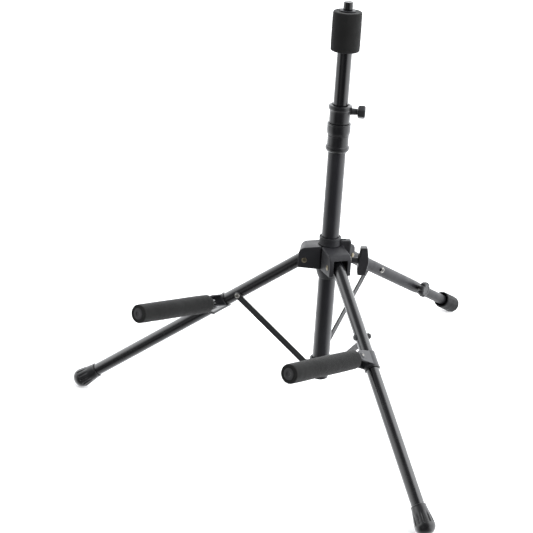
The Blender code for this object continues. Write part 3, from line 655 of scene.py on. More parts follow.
def foam_sleeve(name, bore, radius, low, high, place, seed):
    """Foam tube with soft uneven walls and slightly puckered ends."""
    lip = 1.7
    slope = bore + 0.7  # where the end faces begin to rise
    span = radius - lip - 0.5 - bore - 0.7
    turns = [math.radians(degrees) for degrees in (8, 22, 36, 50, 64, 78)]
    profile = [(bore, high - 1.2), (slope, high - 0.35)]
    profile += [(slope + span * t, high - 0.35 * (1 - t) - 0.1) for t in (0.35, 0.7, 1.0)]
    profile += [(radius - lip + lip * math.sin(a), high - lip + lip * math.cos(a) ** 1.2)
                for a in turns]
    profile += [(radius, z) for z in between(high - lip, low + lip, 1.6)]
    profile += [(radius - lip + lip * math.sin(a), low + lip - lip * math.cos(a) ** 1.2)
                for a in reversed(turns)]
    profile += [(slope + span * t, low + 0.35 * (1 - t) + 0.1) for t in (1.0, 0.7, 0.35)]
    profile += [(slope, low + 0.45), (bore, low + 1.4)]
    shift = Vector((seed * 7.3, seed * 3.1, seed * 5.7))

    def uneven(r, z, angle):
        if r < bore + 1.0:
            return r
        point = Vector((math.cos(angle) * r, math.sin(angle) * r, z))
        slow = noise.noise(point * 0.045 + shift)
        medium = noise.noise(point * 0.16 + shift * 2)
        fine = noise.noise(point * 0.8 + shift * 3)
        share = min(1.0, (r - bore) / (radius - bore))
        # the tube narrows a little towards its cut ends
        cut = math.exp(-min(high - z, z - low) / 5.0) * 0.35
        return r + share * (0.26 * slow + 0.14 * medium + 0.05 * fine - cut) - 0.12 * share

    return lathe(name, profile, place, FOAM, steps=120, closed=True, shape=uneven, sharp=0)


# Turned profiles below list (radius, height along the axis).
# ------------------------------------------------------------------ post and its collars
def build_post():
    use(pipe("post_tube", POST_RADIUS, 11.2, POST_BOTTOM, POST_TOP, POST, POST_COAT, ease=0.5),
        "post", "black_tube", "lower_post")
    cover = [
        (0, POST_BOTTOM + 14), (10.6, POST_BOTTOM + 14), (10.9, POST_BOTTOM + 12),
        (10.9, POST_BOTTOM - COVER_GAP), (POST_RADIUS, POST_BOTTOM - COVER_GAP),
        (POST_RADIUS, POST_BOTTOM - 2.2), (POST_RADIUS - 1.4, POST_BOTTOM - 3.4),
        (4.0, POST_BOTTOM - 3.6), (0, POST_BOTTOM - 3.6)]
    use(lathe("post_end_cover", cover, POST, MOULDED, ease=0.6),
        "post", "moulded_black", "post_end_cap")


def build_link_collar():
    """Ring low on the post with a tab for each brace and a screw in front."""
    wall = [(BORE_RADIUS, LINK_Z + 9.0), (15.8, LINK_Z + 9.0), (16.3, LINK_Z + 8.4),
            (16.3, LINK_Z - 8.4), (15.8, LINK_Z - 9.0), (BORE_RADIUS, LINK_Z - 9.0)]
    adds = [lathe("link_ring", wall, POST, steps=96, ease=0.3, corner=2, closed=True, sharp=0)]
    cuts = []
    for key, leg in LEGS.items():
        tab_start = 12.0 if key == "rear" else 14.4
        beside = BRACE_OFFSET[key] - TAB_INSET
        outline = [(tab_start, -6.5)]
        outline += arc(LINK_REACH + 1, 0, 5.5, half_turn(-0.5, 12))
        outline += [(tab_start, 6.5)]
        adds.append(prism(key + "_tab", outline, 5.4,
                          axes(leg.side * beside + UP * LINK_Z, leg.side, leg.out)))
        cuts.append(cutter(key + "_tab_bore", 2.0, beside - 4.2, beside + 5.6,
                           axes(leg.out * LINK_REACH + UP * LINK_Z, leg.side, leg.out)))
    use(mould("link_collar", adds, cuts, MOULDED, voxel=0.5, smooth=4),
        "post", "moulded_black", "brace_collar")
    screw = [(0, 0.9), (1.5, 0.9), (1.5, 2.2), (2.4, 2.1), (3.4, 1.4), (3.6, 0.3), (0, 0.3)]
    use(lathe("link_collar_screw", screw, axes(polar(-90, 16.3, LINK_Z), polar(-90, 1), UP),
              BLACKENED, 40, ease=0.25, corner=3),
        "post", "plated_steel", "brace_collar_screw")


def build_height_collar():
    """Turned sleeve and band, and a moulded housing with a boss for the thumb screw."""
    sleeve = [
        (BORE_RADIUS, 162.9), (15.2, 162.9), (15.3, 161.6), (15.1, 160.9), (15.2, 150.0),
        (15.5, 147.8), (16.5, 146.9), (17.0, 145.4), (17.0, 143.0), (16.2, 141.0),
        (15.0, 139.6), (14.5, COLLAR_BOTTOM), (BORE_RADIUS, COLLAR_BOTTOM)]
    use(lathe("collar_sleeve", sleeve, POST, COLLAR, 96, ease=0.7, closed=True),
        "post", "moulded_black", "height_collar_sleeve")
    band = [
        (BORE_RADIUS, 175.7), (BORE_RADIUS, 180.4), (15.6, 180.4), (16.7, 179.9), (16.9, 178.6),
        (16.6, 177.6), (16.75, 176.6), (16.75, 170.0), (16.5, 167.2), (15.8, 164.4),
        (15.5, 163.2), (BORE_RADIUS, 163.2)]
    use(lathe("collar_band", band, POST, COLLAR, 96, ease=0.5, closed=True),
        "post", "moulded_black", "height_collar_band")

    thumb = axes(UP * THUMB_Z, polar(THUMB_AZIMUTH, 1.0), UP)
    wall = [
        (11.9, COLLAR_TOP - 2.0), (12.9, COLLAR_TOP), (15.3, COLLAR_TOP),
        (16.65, COLLAR_TOP - 1.2), (16.65, 201.6), (16.2, 200.2), (15.1, 199.4), (14.9, 198.0),
        (14.75, 197.4), (14.75, 183.0), (15.0, 182.0), (15.0, 180.9), (11.9, 180.9)]
    housing = lathe("housing_body", wall, POST, steps=96, ease=0.4, corner=3, closed=True,
                    sharp=0)
    boss = lathe("housing_boss", [(0, 17.6), (4.4, 17.6), (4.9, 17.0), (4.9, 12.2), (0, 12.2)],
                 thumb, steps=48, ease=0.5, corner=3, sharp=0)
    bore = cutter("housing_bore", 3.3, 5, 25, thumb)
    use(mould("collar_housing", [housing, boss], [bore], COLLAR, voxel=0.42, smooth=3),
        "post", "moulded_black", "height_collar_housing")

    stem = [(0, 24.2), (4.4, 24.2), (4.6, 23.0), (4.6, 19.0), (4.9, 18.4), (4.9, 17.6),
            (3.0, 17.5), (3.0, 11.2), (0, 10.9)]
    use(lathe("thumb_stem", stem, thumb, KNOBS, 48, ease=0.3, corner=3),
        "height_screw", "plated_steel", "height_screw_stem")
    grip = [(0, 35.4), (7.4, 35.4), (9.3, 34.2), (9.6, 32.0), (9.5, 27.6), (8.9, 25.6),
            (6.8, 24.4), (0, 24.4)]
    use(lathe("thumb_knob", grip, thumb, KNOBS, 144, ease=0.7, spacing=0.6,
              shape=faceted(6, share=0.88, radius_from=5.0)),
        "height_screw", "moulded_black", "height_screw_knob")


# ------------------------------------------------------------------ rod and peg
def build_rod():
    use(pipe("height_rod_tube", ROD_RADIUS, 9.0, ROD_BOTTOM, ROD_TOP, POST, ROD_COAT),
        "height_rod", "black_tube", "upper_rod")
    top = PEG_FOAM_TOP
    washer = [(5.0, top + 1.8), (10.6, top + 1.8), (11.2, top + 1.2), (11.2, top + 0.3),
              (5.0, top + 0.3)]
    use(lathe("peg_washer_disc", washer, POST, MOULDED, ease=0.35, corner=3, closed=True),
        "height_rod", "moulded_black", "peg_washer")
    nut = [(0, top + 12.6), (4.7, top + 12.7), (5.6, top + 13.3), (6.5, top + 12.7),
           (6.95, top + 3.4), (6.7, top + 2.2), (4.7, top + 2.1), (4.7, top - 12), (0, top - 12)]
    use(lathe("peg_cap_nut", nut, POST, CAP, 96, ease=0.5, spacing=1.0,
              shape=faceted(8, share=0.28, radius_from=2.0, z_from=top + 2.0)),
        "height_rod", "moulded_black", "peg_cap")
    use(foam_sleeve("peg_foam_sleeve", ROD_RADIUS + 0.15, PEG_FOAM_RADIUS, PEG_FOAM_BOTTOM, top,
                    POST, seed=1.0), "height_rod", "black_foam", "peg_foam")


# ------------------------------------------------------------------ hub
def build_hub_casting(knob_out, knob):
    """Core round the post, a hollow shell over each leg, and a slit boss for the clamp."""
    core = [
        (0, -5.8), (16.0, -5.8), (16.35, -6.0), (HUB_RADIUS, -6.5), (HUB_RADIUS, -30.0),
        (17.6, -32.5), (18.0, -35.0), (17.8, -38.5), (17.0, -42.5), (15.8, -46.0),
        (14.6, -49.5), (13.9, -51.6), (13.2, -52.6), (0, -52.6)]
    adds = [lathe("hub_core", core, POST, steps=96, sharp=0)]
    for key, leg in LEGS.items():
        top = -8.6 if key == "rear" else -7.0
        shell = [(10.6, -1.4, 0), (HUB_REACH, top, 11.0), (HUB_REACH, HUB_SKIRT_Z, 1.6),
                 (10.6, HUB_SKIRT_Z, 0)]
        adds.append(prism(key + "_shell", fillet(shell), 2 * HUB_HALF_WIDTH, leg.cheek(),
                          bevel=1.0))
    adds.append(block("hub_boss", (42.0, 13.0, 19.0),
                      axes(knob_out * 21.5 + UP * -15.2, knob_out, UP), bevel=2.6))

    bore = [(0, 30), (16.2, 30), (16.2, -5.2), (BORE_RADIUS, -5.5), (BORE_RADIUS, -80), (0, -80)]
    cuts = [
        lathe("hub_bore_tool", bore, POST @ Matrix.Rotation(0.021, 4, "Z"), steps=90, sharp=0),
        block("hub_slit", (60.0, 2.2, 9.0), axes(knob_out * 18.4 + UP * 2.0, knob_out, UP)),
        cutter("hub_screw_tool", 3.6, 8, 60, knob)]
    mouth = fillet([(19.5, -8.5, 1.5), (38.5, -10.6, 1.0), (40.5, -12.8, 1.0),
                    (60.0, -12.8, 0), (60.0, -70.0, 0), (19.5, -70.0, 0)])
    for key, leg in LEGS.items():
        cuts.append(prism(key + "_mouth_tool", mouth, 2 * HUB_MOUTH_HALF, leg.cheek()))
        cuts.append(cutter(key + "_pin_tool", 2.9, -30, 30, leg.cross_pin(PIVOT_ALONG)))
    use(mould("hub_casting_shell", adds, cuts, MOULDED, voxel=0.6, smooth=4),
        "hub", "moulded_black", "hub_casting")


def build_hub_fittings():
    """Top ring, rubber seal and leg pivots."""
    top_ring = [
        (BORE_RADIUS, 7.6), (14.3, 7.8), (14.5, 10.2), (15.0, 10.7), (15.7, 10.2), (15.8, 7.0),
        (15.5, 6.4), (15.5, 0.6), (15.8, 0.0), (15.8, -1.2), (15.3, -4.9), (BORE_RADIUS, -4.9)]
    use(lathe("hub_ring", top_ring, POST, MOULDED, 96, ease=0.4, closed=True),
        "hub", "moulded_black", "hub_top_ring")
    seal = [(POST_RADIUS + 0.05, 7.9), (POST_RADIUS + 0.05, 9.4), (13.3, 10.1), (14.1, 9.6),
            (14.25, 7.9)]
    use(lathe("hub_seal", seal, POST, RUBBER, 96, ease=0.3, corner=3, closed=True),
        "hub", "black_rubber")
    for key, leg in LEGS.items():
        use(rivet(key + "_pivot_rivet", leg.cross_pin(PIVOT_ALONG), face=HUB_HALF_WIDTH + 0.1,
                  head=3.9, height=1.2, shank=2.4, hollow=2.3, material=OLD_BRASS),
            "hub", "plated_steel", key + "_leg_pivot_pin")


def build_hub_clamp(knob_out, knob):
    """Clamp screw, washer and wing-shaped knob."""
    stem = [(0, 43.4), (4.2, 43.4), (4.4, 42.6), (4.4, 33.4), (3.2, 33.2), (3.2, 14.0),
            (0, 13.6)]
    use(lathe("clamp_stem", stem, knob, KNOBS, 56, ease=0.4, corner=3),
        "hub_clamp", "plated_steel", "hub_clamp_screw")
    washer = [(3.3, 33.0), (5.4, 33.0), (5.7, 32.6), (5.7, 31.6), (3.3, 31.6)]
    use(lathe("clamp_washer", washer, knob, ZINC, 48, ease=0.2, corner=2, closed=True),
        "hub_clamp", "plated_steel")
    # x outward, y up, corner radius
    wing = [
        (43.2, -21.2, 1.2), (55.0, -21.4, 1.6), (58.8, 0.0, 22.0), (55.4, 21.4, 1.6),
        (45.6, 21.2, 1.2), (44.8, 9.0, 2.0), (43.2, 6.4, 1.0), (43.2, -6.4, 1.0),
        (42.2, -12.0, 6.0)]
    blank = prism("wing_blank", fillet(wing, steps=8), 12.6,
                  axes(UP * KNOB_Z, knob_out.cross(UP), knob_out), bevel=1.5, segments=4)
    use(mould("clamp_wing", [blank], [], KNOBS, voxel=0.45, smooth=4),
        "hub_clamp", "moulded_black", "hub_knob")


# ------------------------------------------------------------------ legs
def to_floor(obj):
    """Flattens what would dip under the floor into the worn contact patch."""
    for vert in obj.data.vertices:
        if vert.co.z < 0.0:
            vert.co.z = 0.0
    obj.data.update()
    return obj


def boot(name, place, turn):
    """Flared rubber foot: rolled lip, blind round-ended flutes and a domed tip."""
    seam = FOOT_SEAM
    flare_start = seam + 3.0
    flare_end = 446.0
    flare_radius = 10.8
    dome_radius = 14.1
    dome_height = 11.4
    flutes = 12
    bore_start = seam + 1.0
    profile = [
        (LEG_RADIUS + 0.1, bore_start), (LEG_RADIUS + 0.35, seam + 0.1), (10.1, seam - 0.1),
        (10.75, seam + 0.25), (11.0, seam + 0.9), (10.95, seam + 1.7), (10.75, seam + 2.3),
        (flare_radius, flare_start)]
    for z in between(seam + 3.6, flare_end, 0.5)[:-1]:
        part = (z - flare_start) / (flare_end - flare_start)
        profile.append((flare_radius + 3.3 * part ** 0.92, z))
    for degrees in range(0, 91, 5):
        angle = math.radians(degrees)
        profile.append((dome_radius * math.cos(angle) ** 0.82,
                        flare_end + dome_height * math.sin(angle) ** 1.15))

    def fluted(radius, z, angle):
        across = abs(((angle + turn) * flutes / (2 * math.pi)) % 1.0 - 0.5) / 0.27
        # the blind end is round, the other end runs out into the wall
        end = 444.6 - 1.9 * (1 - math.sqrt(max(0.0, 1 - min(1.0, across) ** 2)))
        depth = max(0.0, 1 - across ** 4) * clamp((z - 427.0) / 11.0)
        return radius - 1.5 * depth * clamp((end - z) / 0.9 + 0.5)

    outer = lathe(name, profile, place, RUBBER, 288, shape=fluted, sharp=0)
    # carry the bore from the lip to just past the tube's end and close it
    work = bmesh.new()
    work.from_mesh(outer.data)
    inward = (STAND @ place).to_3x3() @ UP
    rim = [e for e in work.edges if e.is_boundary]
    made = bmesh.ops.extrude_edge_only(work, edges=rim)
    ring = [part for part in made["geom"] if isinstance(part, bmesh.types.BMVert)]
    bmesh.ops.translate(work, verts=ring, vec=inward * (LEG_END + 0.5 - bore_start) * MM)
    bmesh.ops.holes_fill(work, edges=[e for e in work.edges if e.is_boundary])
    bmesh.ops.recalc_face_normals(work, faces=work.faces)
    work.to_mesh(outer.data)
    work.free()
    outer.data.shade_smooth()
    return to_floor(outer)


def build_front_leg(key, flute_turn):
    prefix = "front_" + key
    place = LEGS[key].frame()
    use(pipe(prefix + "_tube", LEG_RADIUS, 7.7, LEG_START, LEG_END, place, POWDER),
        prefix + "_leg_body", "black_tube", prefix + "_leg")
    use(boot(prefix + "_boot", place, flute_turn),
        prefix + "_leg_body", "black_rubber", prefix + "_foot")


def build_rear_tubes(place, screw_angle):
    """Outer tube, pinched on the thumb screw's side near its end, and the inner tube."""
    def pinch(radius, z, angle):
        if radius < REAR_TUBE_RADIUS - 0.6:
            return radius
        off = (angle - screw_angle + math.pi) % (2 * math.pi) - math.pi
        dent = math.exp(-((off / 0.62) ** 2)) * math.exp(-(((z - 284.0) / 9.0) ** 2))
        trail = math.exp(-(((off - 0.15) / 0.3) ** 2)) * clamp((z - 255) / 24.0) * (z < 280)
        neck = 0.45 * clamp((z - 276.0) / 14.0) ** 1.5
        return max(radius - 0.75 * max(dent, trail * 0.8) - neck, 8.45)

    wall = [(REAR_TUBE_RADIUS, LEG_START), (8.3, LEG_START), (8.3, REAR_TUBE_END),
            (REAR_TUBE_RADIUS, REAR_TUBE_END)]
    wall += [(REAR_TUBE_RADIUS, z) for z in between(REAR_TUBE_END - 1, 240.0, 1.0)]
    wall += [(REAR_TUBE_RADIUS, z) for z in (200.0, 120.0, 60.0)]
    use(lathe("rear_outer_tube", wall, place, REAR_COAT, 128, ease=0.3, corner=2, closed=True,
              shape=pinch), "rear_leg_body", "black_tube", "rear_leg_outer")
    use(pipe("rear_inner_tube", REAR_INNER_RADIUS, 6.6, REAR_INNER_START, REAR_INNER_END, place,
             REAR_COAT, steps=80), "rear_extension", "black_tube", "rear_leg_inner")


def build_rear_foot(place):
    """Twelve-sided rubber foot, long enough to be cut flat by the floor."""
    radius = 13.3
    tilt = math.radians(REAR_ANGLE - LEAN)
    drop = APEX_HEIGHT - REAR_DROP * math.cos(math.radians(LEAN))
    end = (drop + 1.4 - radius * math.sin(tilt)) / math.cos(tilt)
    start = REAR_FOOT_START
    bore = REAR_INNER_RADIUS
    profile = [
        (0, REAR_INNER_END + 0.4), (bore + 0.1, REAR_INNER_END + 0.4), (bore + 0.1, start + 7.0),
        (bore + 1.2, start + 5.6), (bore + 2.8, start + 1.2), (11.6, start),
        (12.8, start + 0.6), (13.2, start + 3.0), (radius, end), (12.4, end + 1.6),
        (8.0, end + 2.5), (0, end + 2.6)]
    foot = lathe("rear_boot", profile, place, DULL_RUBBER, 144, ease=0.9, spacing=1.2,
                 shape=faceted(12, share=0.65, radius_from=11.0, swell=1.012))
    use(to_floor(foot), "rear_extension", "black_rubber", "rear_foot")


def build_rear_screw(screw):
    stem_end = REAR_INNER_RADIUS + 0.35
    stem = [(0, 15.2), (4.2, 15.2), (4.4, 14.4), (4.4, 10.4), (4.9, 10.2), (4.9, 9.7),
            (2.9, 9.6), (2.9, stem_end), (0, stem_end)]
    use(lathe("rear_thumb_stem", stem, screw, KNOBS, 48, ease=0.2, corner=2),
        "rear_screw", "plated_steel", "rear_screw_stem")

    def lobed(radius, z, angle):
        """Seven round flutes."""
        if radius < 4.0:
            return radius
        wave = max(0.0, math.cos(angle * 7)) ** 1.4
        return radius - 1.7 * wave * min(1.0, (radius - 4.0) / 3.0)

    grip = [(0, 24.0), (6.6, 24.0), (7.4, 24.5), (9.6, 24.4), (11.6, 23.2), (12.3, 21.2),
            (12.3, 17.6), (11.4, 15.6), (9.0, 15.0), (0, 15.0)]
    use(lathe("rear_thumb_knob", grip, screw, KNOBS, 168, ease=0.8, spacing=0.7, shape=lobed),
        "rear_screw", "moulded_black", "rear_screw_knob")


def build_rear_leg():
    leg = LEGS["rear"]
    place = leg.frame()
    screw_out = Vector((1, 0, 0))
    build_rear_tubes(place, bearing(place, screw_out))
    build_rear_foot(place)
    build_rear_screw(axes(leg.at(REAR_SCREW_ALONG), screw_out, leg.along))


# ------------------------------------------------------------------ braces
def build_brace(key):
    """Flat bar from a leg to the link collar, riveted below and bolted through the leg."""
    leg = LEGS[key]
    is_rear = key == "rear"
    prefix = "rear" if is_rear else "front_" + key
    body = prefix + "_brace_body"
    leg_body = prefix + "_leg_body"
    beside = BRACE_OFFSET[key]
    top = leg.at(BRACE_ALONG[key], side=beside)
    low = leg.out * LINK_REACH + UP * LINK_Z + leg.side * beside
    length = (low - top).length
    place = axes(top, leg.side, low - top)
    outline = arc(length, 0, BRACE_WIDTH / 2, half_turn(-0.5, 14))
    outline += arc(0, 0, BRACE_WIDTH / 2, half_turn(0.5, 14))
    use(prism(prefix + "_brace_bar", outline, BRACE_THICK, place, BAR, bevel=0.55,
              holes=[(0, 0, 2.5), (length, 0, 2.2)]), body, "brace_bar", prefix + "_brace")

    face = BRACE_THICK / 2
    head = [(0, face + 1.8), (1.6, face + 1.7), (3.0, face + 1.1), (3.6, face + 0.2),
            (1.9, face + 0.1), (1.9, -1.2), (0, -1.2)]
    use(lathe(prefix + "_link_rivet", head, place @ Matrix.Translation((length * MM, 0, 0)),
              ZINC, 40, ease=0.35, corner=3), body, "plated_steel", prefix + "_brace_rivet")

    through = leg.cross_pin(BRACE_ALONG[key])
    face = beside + BRACE_THICK / 2
    back = -(REAR_TUBE_RADIUS if is_rear else LEG_RADIUS)
    bolt = [(0, face + 1.3), (1.3, face + 1.3), (1.5, face + 2.2), (2.4, face + 2.2),
            (3.5, face + 1.4), (3.9, face + 0.3), (2.2, face + 0.2), (2.2, back - 2.6),
            (1.8, back - 2.9), (0, back - 2.9)]
    use(lathe(prefix + "_link_bolt", bolt, through, ZINC if key == "left" else BLACKENED, 48,
              ease=0.35, corner=3), leg_body, "plated_steel", prefix + "_brace_bolt")
    nut = [(2.3, back - 0.1), (4.3, back - 0.1), (4.3, back - 1.9), (3.9, back - 2.4),
           (2.3, back - 2.4)]
    use(lathe(prefix + "_link_nut", nut, through, ZINC if is_rear else BLACKENED, 96, ease=0.15,
              corner=2, closed=True, shape=faceted(6, share=1.0, radius_from=3.0)),
        leg_body, "plated_steel", prefix + "_brace_nut")
    # washer, or at the back a spacer, between the bar and the tube
    inner = face - BRACE_THICK - 0.1
    names = ("rear_brace_spacer",) if is_rear else ()
    use(lathe(prefix + "_spacer", [(2.4, inner), (4.6, inner), (4.6, 8.6), (2.4, 8.6)],
              through, BLACKENED, 40, ease=0.3, corner=2, closed=True),
        leg_body, "plated_steel", *names)


# ------------------------------------------------------------------ arms
def build_arm_bracket(key, leg, forward, arm, hinge):
    """Sleeve on the leg with two ears that hold the arm."""
    station, above, _ = ARMS[key]
    along = leg.frame()
    begin = station - above
    wall = [(0, begin), (10.9, begin), (10.9, station + 19.0), (0, station + 19.0)]
    sleeve = lathe(key + "_sleeve", wall, along, steps=96, ease=0.5, corner=3, sharp=0)
    # each ear spans two points on the leg axis and a disc round the hinge
    ahead = leg.along.dot(forward)
    aside = math.sqrt(1 - ahead * ahead)
    rim = []
    for distance in (begin + 0.6 - station, 17.8):
        rim += arc(distance * ahead, distance * aside, 0.5, [math.pi * i / 4 for i in range(8)])
    rim += arc(ARM_PIVOT, 0, 8.4, [math.pi * i / 24 for i in range(48)])
    ears = [prism("%s_%s_ear" % (key, tag), hull(rim), 2.1,
                  arm @ Matrix.Translation((0, 0, lift * MM)))
            for tag, lift in (("upper", EAR_LIFT), ("lower", -EAR_LIFT))]
    cuts = [cutter(key + "_sleeve_tool", LEG_RADIUS + 0.1, 160, 230, along, steps=96),
            cutter(key + "_hinge_tool", 3.1, -15, 15, hinge, steps=40)]
    leg_body = "front_" + key + "_leg_body"
    use(mould(key + "_clamp_bracket", [sleeve] + ears, cuts, BRACKET, voxel=0.4, smooth=3),
        leg_body, "moulded_black", key + "_arm_bracket")

    toward_bar = bearing(along, leg.side)

    def beside_bar(radius, z, angle):
        """Flat on the side where the folded brace bar passes."""
        return min(radius, 9.4 / max(0.1, math.cos(angle - toward_bar)))

    # rubber bands past the sleeve's ends; only the left leg has the upper one
    bands = [("lower", station + 19.3, None, [key + "_bracket_ring"])]
    if key == "left":
        bands.append(("upper", station - 8.4, beside_bar, []))
    for tag, start, shape, nodes in bands:
        profile = [(LEG_RADIUS + 0.05, start + 2.2), (11.0, start + 2.2), (11.3, start + 1.8),
                   (11.3, start + 0.5), (11.1, start), (LEG_RADIUS + 0.05, start)]
        use(lathe("%s_%s_band" % (key, tag), profile, along, RUBBER, 80, ease=0.35, corner=3,
                  closed=True, shape=shape), leg_body, "black_rubber", *nodes)
    use(rivet(key + "_fold_rivet", hinge, face=9.4, head=4.3, height=1.1, shank=3.0, hollow=1.9,
              material=BLACKENED), leg_body, "plated_steel", key + "_arm_rivet")
    rivet_core = [(0, 10.5), (1.4, 10.45), (2.1, 9.9), (2.1, 9.75), (0, 9.75)]
    use(lathe(key + "_fold_rivet_core", rivet_core, hinge, ZINC, 32, ease=0.2, corner=3),
        leg_body, "plated_steel")


def arm_bar(name, reach, hinge):
    """Round bar whose end is pressed flat between the two ears."""
    radius = ARM_RADIUS
    profile = [(0, ARM_REACH - 6.0), (radius - 0.5, ARM_REACH - 6.0), (radius, ARM_REACH - 6.6)]
    profile += [(radius, z) for z in between(ARM_REACH - 8, ARM_PIVOT + 14, 12.0)]
    profile += [(radius, z) for z in between(ARM_PIVOT + 13, ARM_PIVOT + 0.5, 0.8)]
    profile += [(radius * math.cos(a), ARM_PIVOT - radius * math.sin(a))
                for a in (math.radians(degrees) for degrees in range(0, 90, 6))]
    profile += [(0, ARM_PIVOT - radius)]
    rod = lathe(name, profile, reach, POWDER, sharp=30.0)
    to_world = STAND @ hinge
    to_hinge = to_world.inverted()
    press_start = 0.012
    for vert in rod.data.vertices:
        local = to_hinge @ vert.co
        if local.x < press_start:
            ease = clamp((press_start - local.x) / 0.008)
            limit = 0.0062 - 0.0008 * ease
            local.z = max(-limit, min(limit, local.z))
            vert.co = to_world @ local
    rod.data.update()
    return rod


def build_arm(key):
    leg = LEGS[key]
    station, _, seed = ARMS[key]
    body = key + "_arm_body"
    rise = math.radians(ARM_RISE)
    forward = Vector((0, -math.cos(rise), math.sin(rise)))
    across = (leg.along - forward * leg.along.dot(forward)).normalized()
    fold = forward.cross(across)
    arm = axes(leg.at(station), fold, forward)
    hinge = arm @ Matrix.Translation((ARM_PIVOT * MM, 0, 0))
    build_arm_bracket(key, leg, forward, arm, hinge)

    reach = axes(leg.at(station), forward, fold)
    use(arm_bar(key + "_arm_bar", reach, hinge), body, "black_tube", key + "_arm_rod")
    use(foam_sleeve(key + "_arm_pad", ARM_RADIUS + 0.1, ARM_FOAM_RADIUS, ARM_FOAM_START,
                    ARM_REACH, reach, seed), body, "black_foam", key + "_arm_foam")
    end = ARM_REACH
    disc = [(0, end - 0.4), (3.0, end - 0.5), (3.5, end + 0.1), (7.4, end + 0.1),
            (8.0, end - 0.4), (8.0, end - 1.3), (8.5, end - 1.4), (8.9, end - 1.8),
            (7.8, end - 3.6), (6.2, end - 4.0), (6.2, end - 5.7), (0, end - 5.7)]
    use(lathe(key + "_arm_disc", disc, reach, END_DISC, ease=0.3, corner=3),
        body, "moulded_black", key + "_arm_end_plug")


# ------------------------------------------------------------------ floor, light, camera
def build_floor():
    """White floor that sends less light back up than the camera sees."""
    paint = Paint("pale_floor")
    paint.set(
        Base_Color=paint.blend(paint.noise(scale=3.0), (0.90, 0.90, 0.90), (0.92, 0.92, 0.92)),
        Roughness=0.9,
        Specular_IOR_Level=0.1,
        Emission_Color=(1.0, 1.0, 1.0),
        Emission_Strength=0.22,
    )
    path = paint.add("ShaderNodeLightPath")
    dim = paint.add("ShaderNodeBsdfDiffuse")
    dim.inputs["Color"].default_value = (0.42, 0.42, 0.42, 1.0)
    either = paint.add("ShaderNodeMixShader")
    paint.link(path.outputs["Is Diffuse Ray"], either.inputs["Fac"])
    paint.link(paint.bsdf.outputs["BSDF"], either.inputs[1])
    paint.link(dim.outputs["BSDF"], either.inputs[2])
    paint.link(either.outputs["Shader"], paint.tree.nodes["Material Output"].inputs["Surface"])
    mesh = bpy.data.meshes.new("floor")
    mesh.from_pydata([(-9, -9, 0), (9, -9, 0), (9, 9, 0), (-9, 9, 0)], [], [(0, 1, 2, 3)])
    mesh.materials.append(paint.mat)
    floor = bpy.data.objects.new("floor", mesh)
    floor.location.z = -0.0002
    bpy.context.scene.collection.objects.link(floor)
    floor.visible_glossy = False


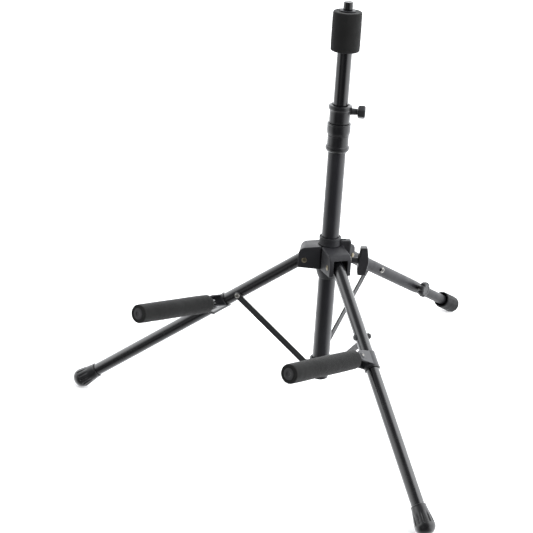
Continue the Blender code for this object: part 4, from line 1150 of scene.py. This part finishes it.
def build_world():
    """Bright sides and back, a dark front where the camera stands, and less from below."""
    world = bpy.data.worlds.new("studio")
    bpy.context.scene.world = world
    world.use_nodes = True
    tree = world.node_tree
    tree.nodes.clear()
    coords = tree.nodes.new("ShaderNodeTexCoord")
    right = (math.cos(VIEW_AZIMUTH), math.sin(VIEW_AZIMUTH), 0.0)
    behind = (-math.sin(VIEW_AZIMUTH), math.cos(VIEW_AZIMUTH), 0.0)

    def combine(operation, first, second):
        node = tree.nodes.new("ShaderNodeMath")
        node.operation = operation
        tree.links.new(first, node.inputs[0])
        tree.links.new(second, node.inputs[1])
        return node.outputs[0]

    def toward(direction, start, end, low, high):
        """Goes from low to high as the cosine to a direction goes from start to end."""
        dot = tree.nodes.new("ShaderNodeVectorMath")
        dot.operation = "DOT_PRODUCT"
        tree.links.new(coords.outputs["Generated"], dot.inputs[0])
        dot.inputs[1].default_value = direction
        node = tree.nodes.new("ShaderNodeMapRange")
        node.interpolation_type = "SMOOTHSTEP"
        node.inputs["From Min"].default_value = start
        node.inputs["From Max"].default_value = end
        node.inputs["To Min"].default_value = low
        node.inputs["To Max"].default_value = high
        tree.links.new(dot.outputs["Value"], node.inputs["Value"])
        return node.outputs["Result"]

    def seen(rightward, back, up):
        """Direction given by how far right, back and up it points in the view."""
        return Vector((right[0] * rightward + behind[0] * back,
                       right[1] * rightward + behind[1] * back, up)).normalized()

    glow = toward(behind, start=-0.66, end=0.15, low=0.10, high=3.2)
    # (how it joins the glow, direction, start, end, low, high)
    layers = [
        ("MAXIMUM", right, 0.45, 0.95, 0.0, 3.0),
        # less from below and from overhead, but never quite dark above
        ("MULTIPLY", (0, 0, 1), -0.95, -0.35, 0.75, 1.0),
        ("MULTIPLY", (0, 0, 1), 0.58, 0.90, 1.0, 0.12),
        ("MAXIMUM", (0, 0, 1), 0.30, 0.85, 0.0, 0.20),
        # a soft band high on the right, a weak one low on the left front, a dimmer far left
        ("MAXIMUM", seen(0.77, 0.05, 0.60), 0.78, 0.97, 0.0, 4.0),
        ("MAXIMUM", seen(-0.42, -0.89, 0.18), 0.88, 0.99, 0.0, 0.42),
        ("MULTIPLY", seen(-0.95, 0.3, 0.0), 0.90, 0.98, 1.0, 0.50),
        # stands for the white floor, which is left out of reflections
        ("MAXIMUM", (0, 0, -1), 0.40, 0.85, 0.0, 1.10),
    ]
    for operation, *ramp in layers:
        glow = combine(operation, glow, toward(*ramp))
    background = tree.nodes.new("ShaderNodeBackground")
    background.inputs["Color"].default_value = (0.965, 0.98, 1.0, 1.0)
    tree.links.new(glow, background.inputs["Strength"])
    output = tree.nodes.new("ShaderNodeOutputWorld")
    tree.links.new(background.outputs[0], output.inputs["Surface"])


def soft_box(name, location, target, size, power):
    """Square area lamp; metres and watts."""
    lamp = bpy.data.lights.new(name, "AREA")
    lamp.shape = "RECTANGLE"
    lamp.size = size
    lamp.size_y = size
    lamp.energy = power
    obj = bpy.data.objects.new(name, lamp)
    obj.location = location
    obj.rotation_euler = (Vector(target) - Vector(location)).to_track_quat("-Z", "Y").to_euler()
    obj.visible_glossy = False
    bpy.context.scene.collection.objects.link(obj)


def build_camera():
    data = bpy.data.cameras.new("camera")
    data.sensor_width = 36.0
    data.lens = 102.53
    data.clip_end = 60.0
    camera = bpy.data.objects.new("camera", data)
    x, y, z = CAMERA_FROM_APEX
    camera.location = (x, y + APEX_Y * MM, z + APEX_HEIGHT * MM)
    camera.rotation_euler = (math.pi / 2 - VIEW_DOWN, 0.0, VIEW_AZIMUTH)
    bpy.context.scene.collection.objects.link(camera)
    bpy.context.scene.camera = camera
    bpy.context.scene.view_settings.view_transform = "Standard"


# ------------------------------------------------------------------ build
build_post()
build_link_collar()
build_height_collar()
build_rod()
clamp_out = polar(KNOB_AZIMUTH, 1.0)
clamp_place = axes(UP * KNOB_Z, clamp_out, UP)
build_hub_casting(clamp_out, clamp_place)
build_hub_fittings()
build_hub_clamp(clamp_out, clamp_place)
build_front_leg("left", flute_turn=0.2)
build_front_leg("right", flute_turn=0.45)
build_rear_leg()
for leg_key in LEGS:
    build_brace(leg_key)
for arm_key in ARMS:
    build_arm(arm_key)

# CAD nodes that stay
for node_name in ("rod_end_plug", "rod_guide_bushing"):
    for material_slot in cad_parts[node_name].material_slots:
        material_slot.material = MOULDED

build_floor()
build_world()
soft_box("key_box", location=(2.3, -0.1, 1.9), target=(0, 0, 0.25), size=1.6, power=75.0)
soft_box("fill_box", location=(-1.6, -0.6, 2.6), target=(0, 0, 0.2), size=1.8, power=5.0)
build_camera()
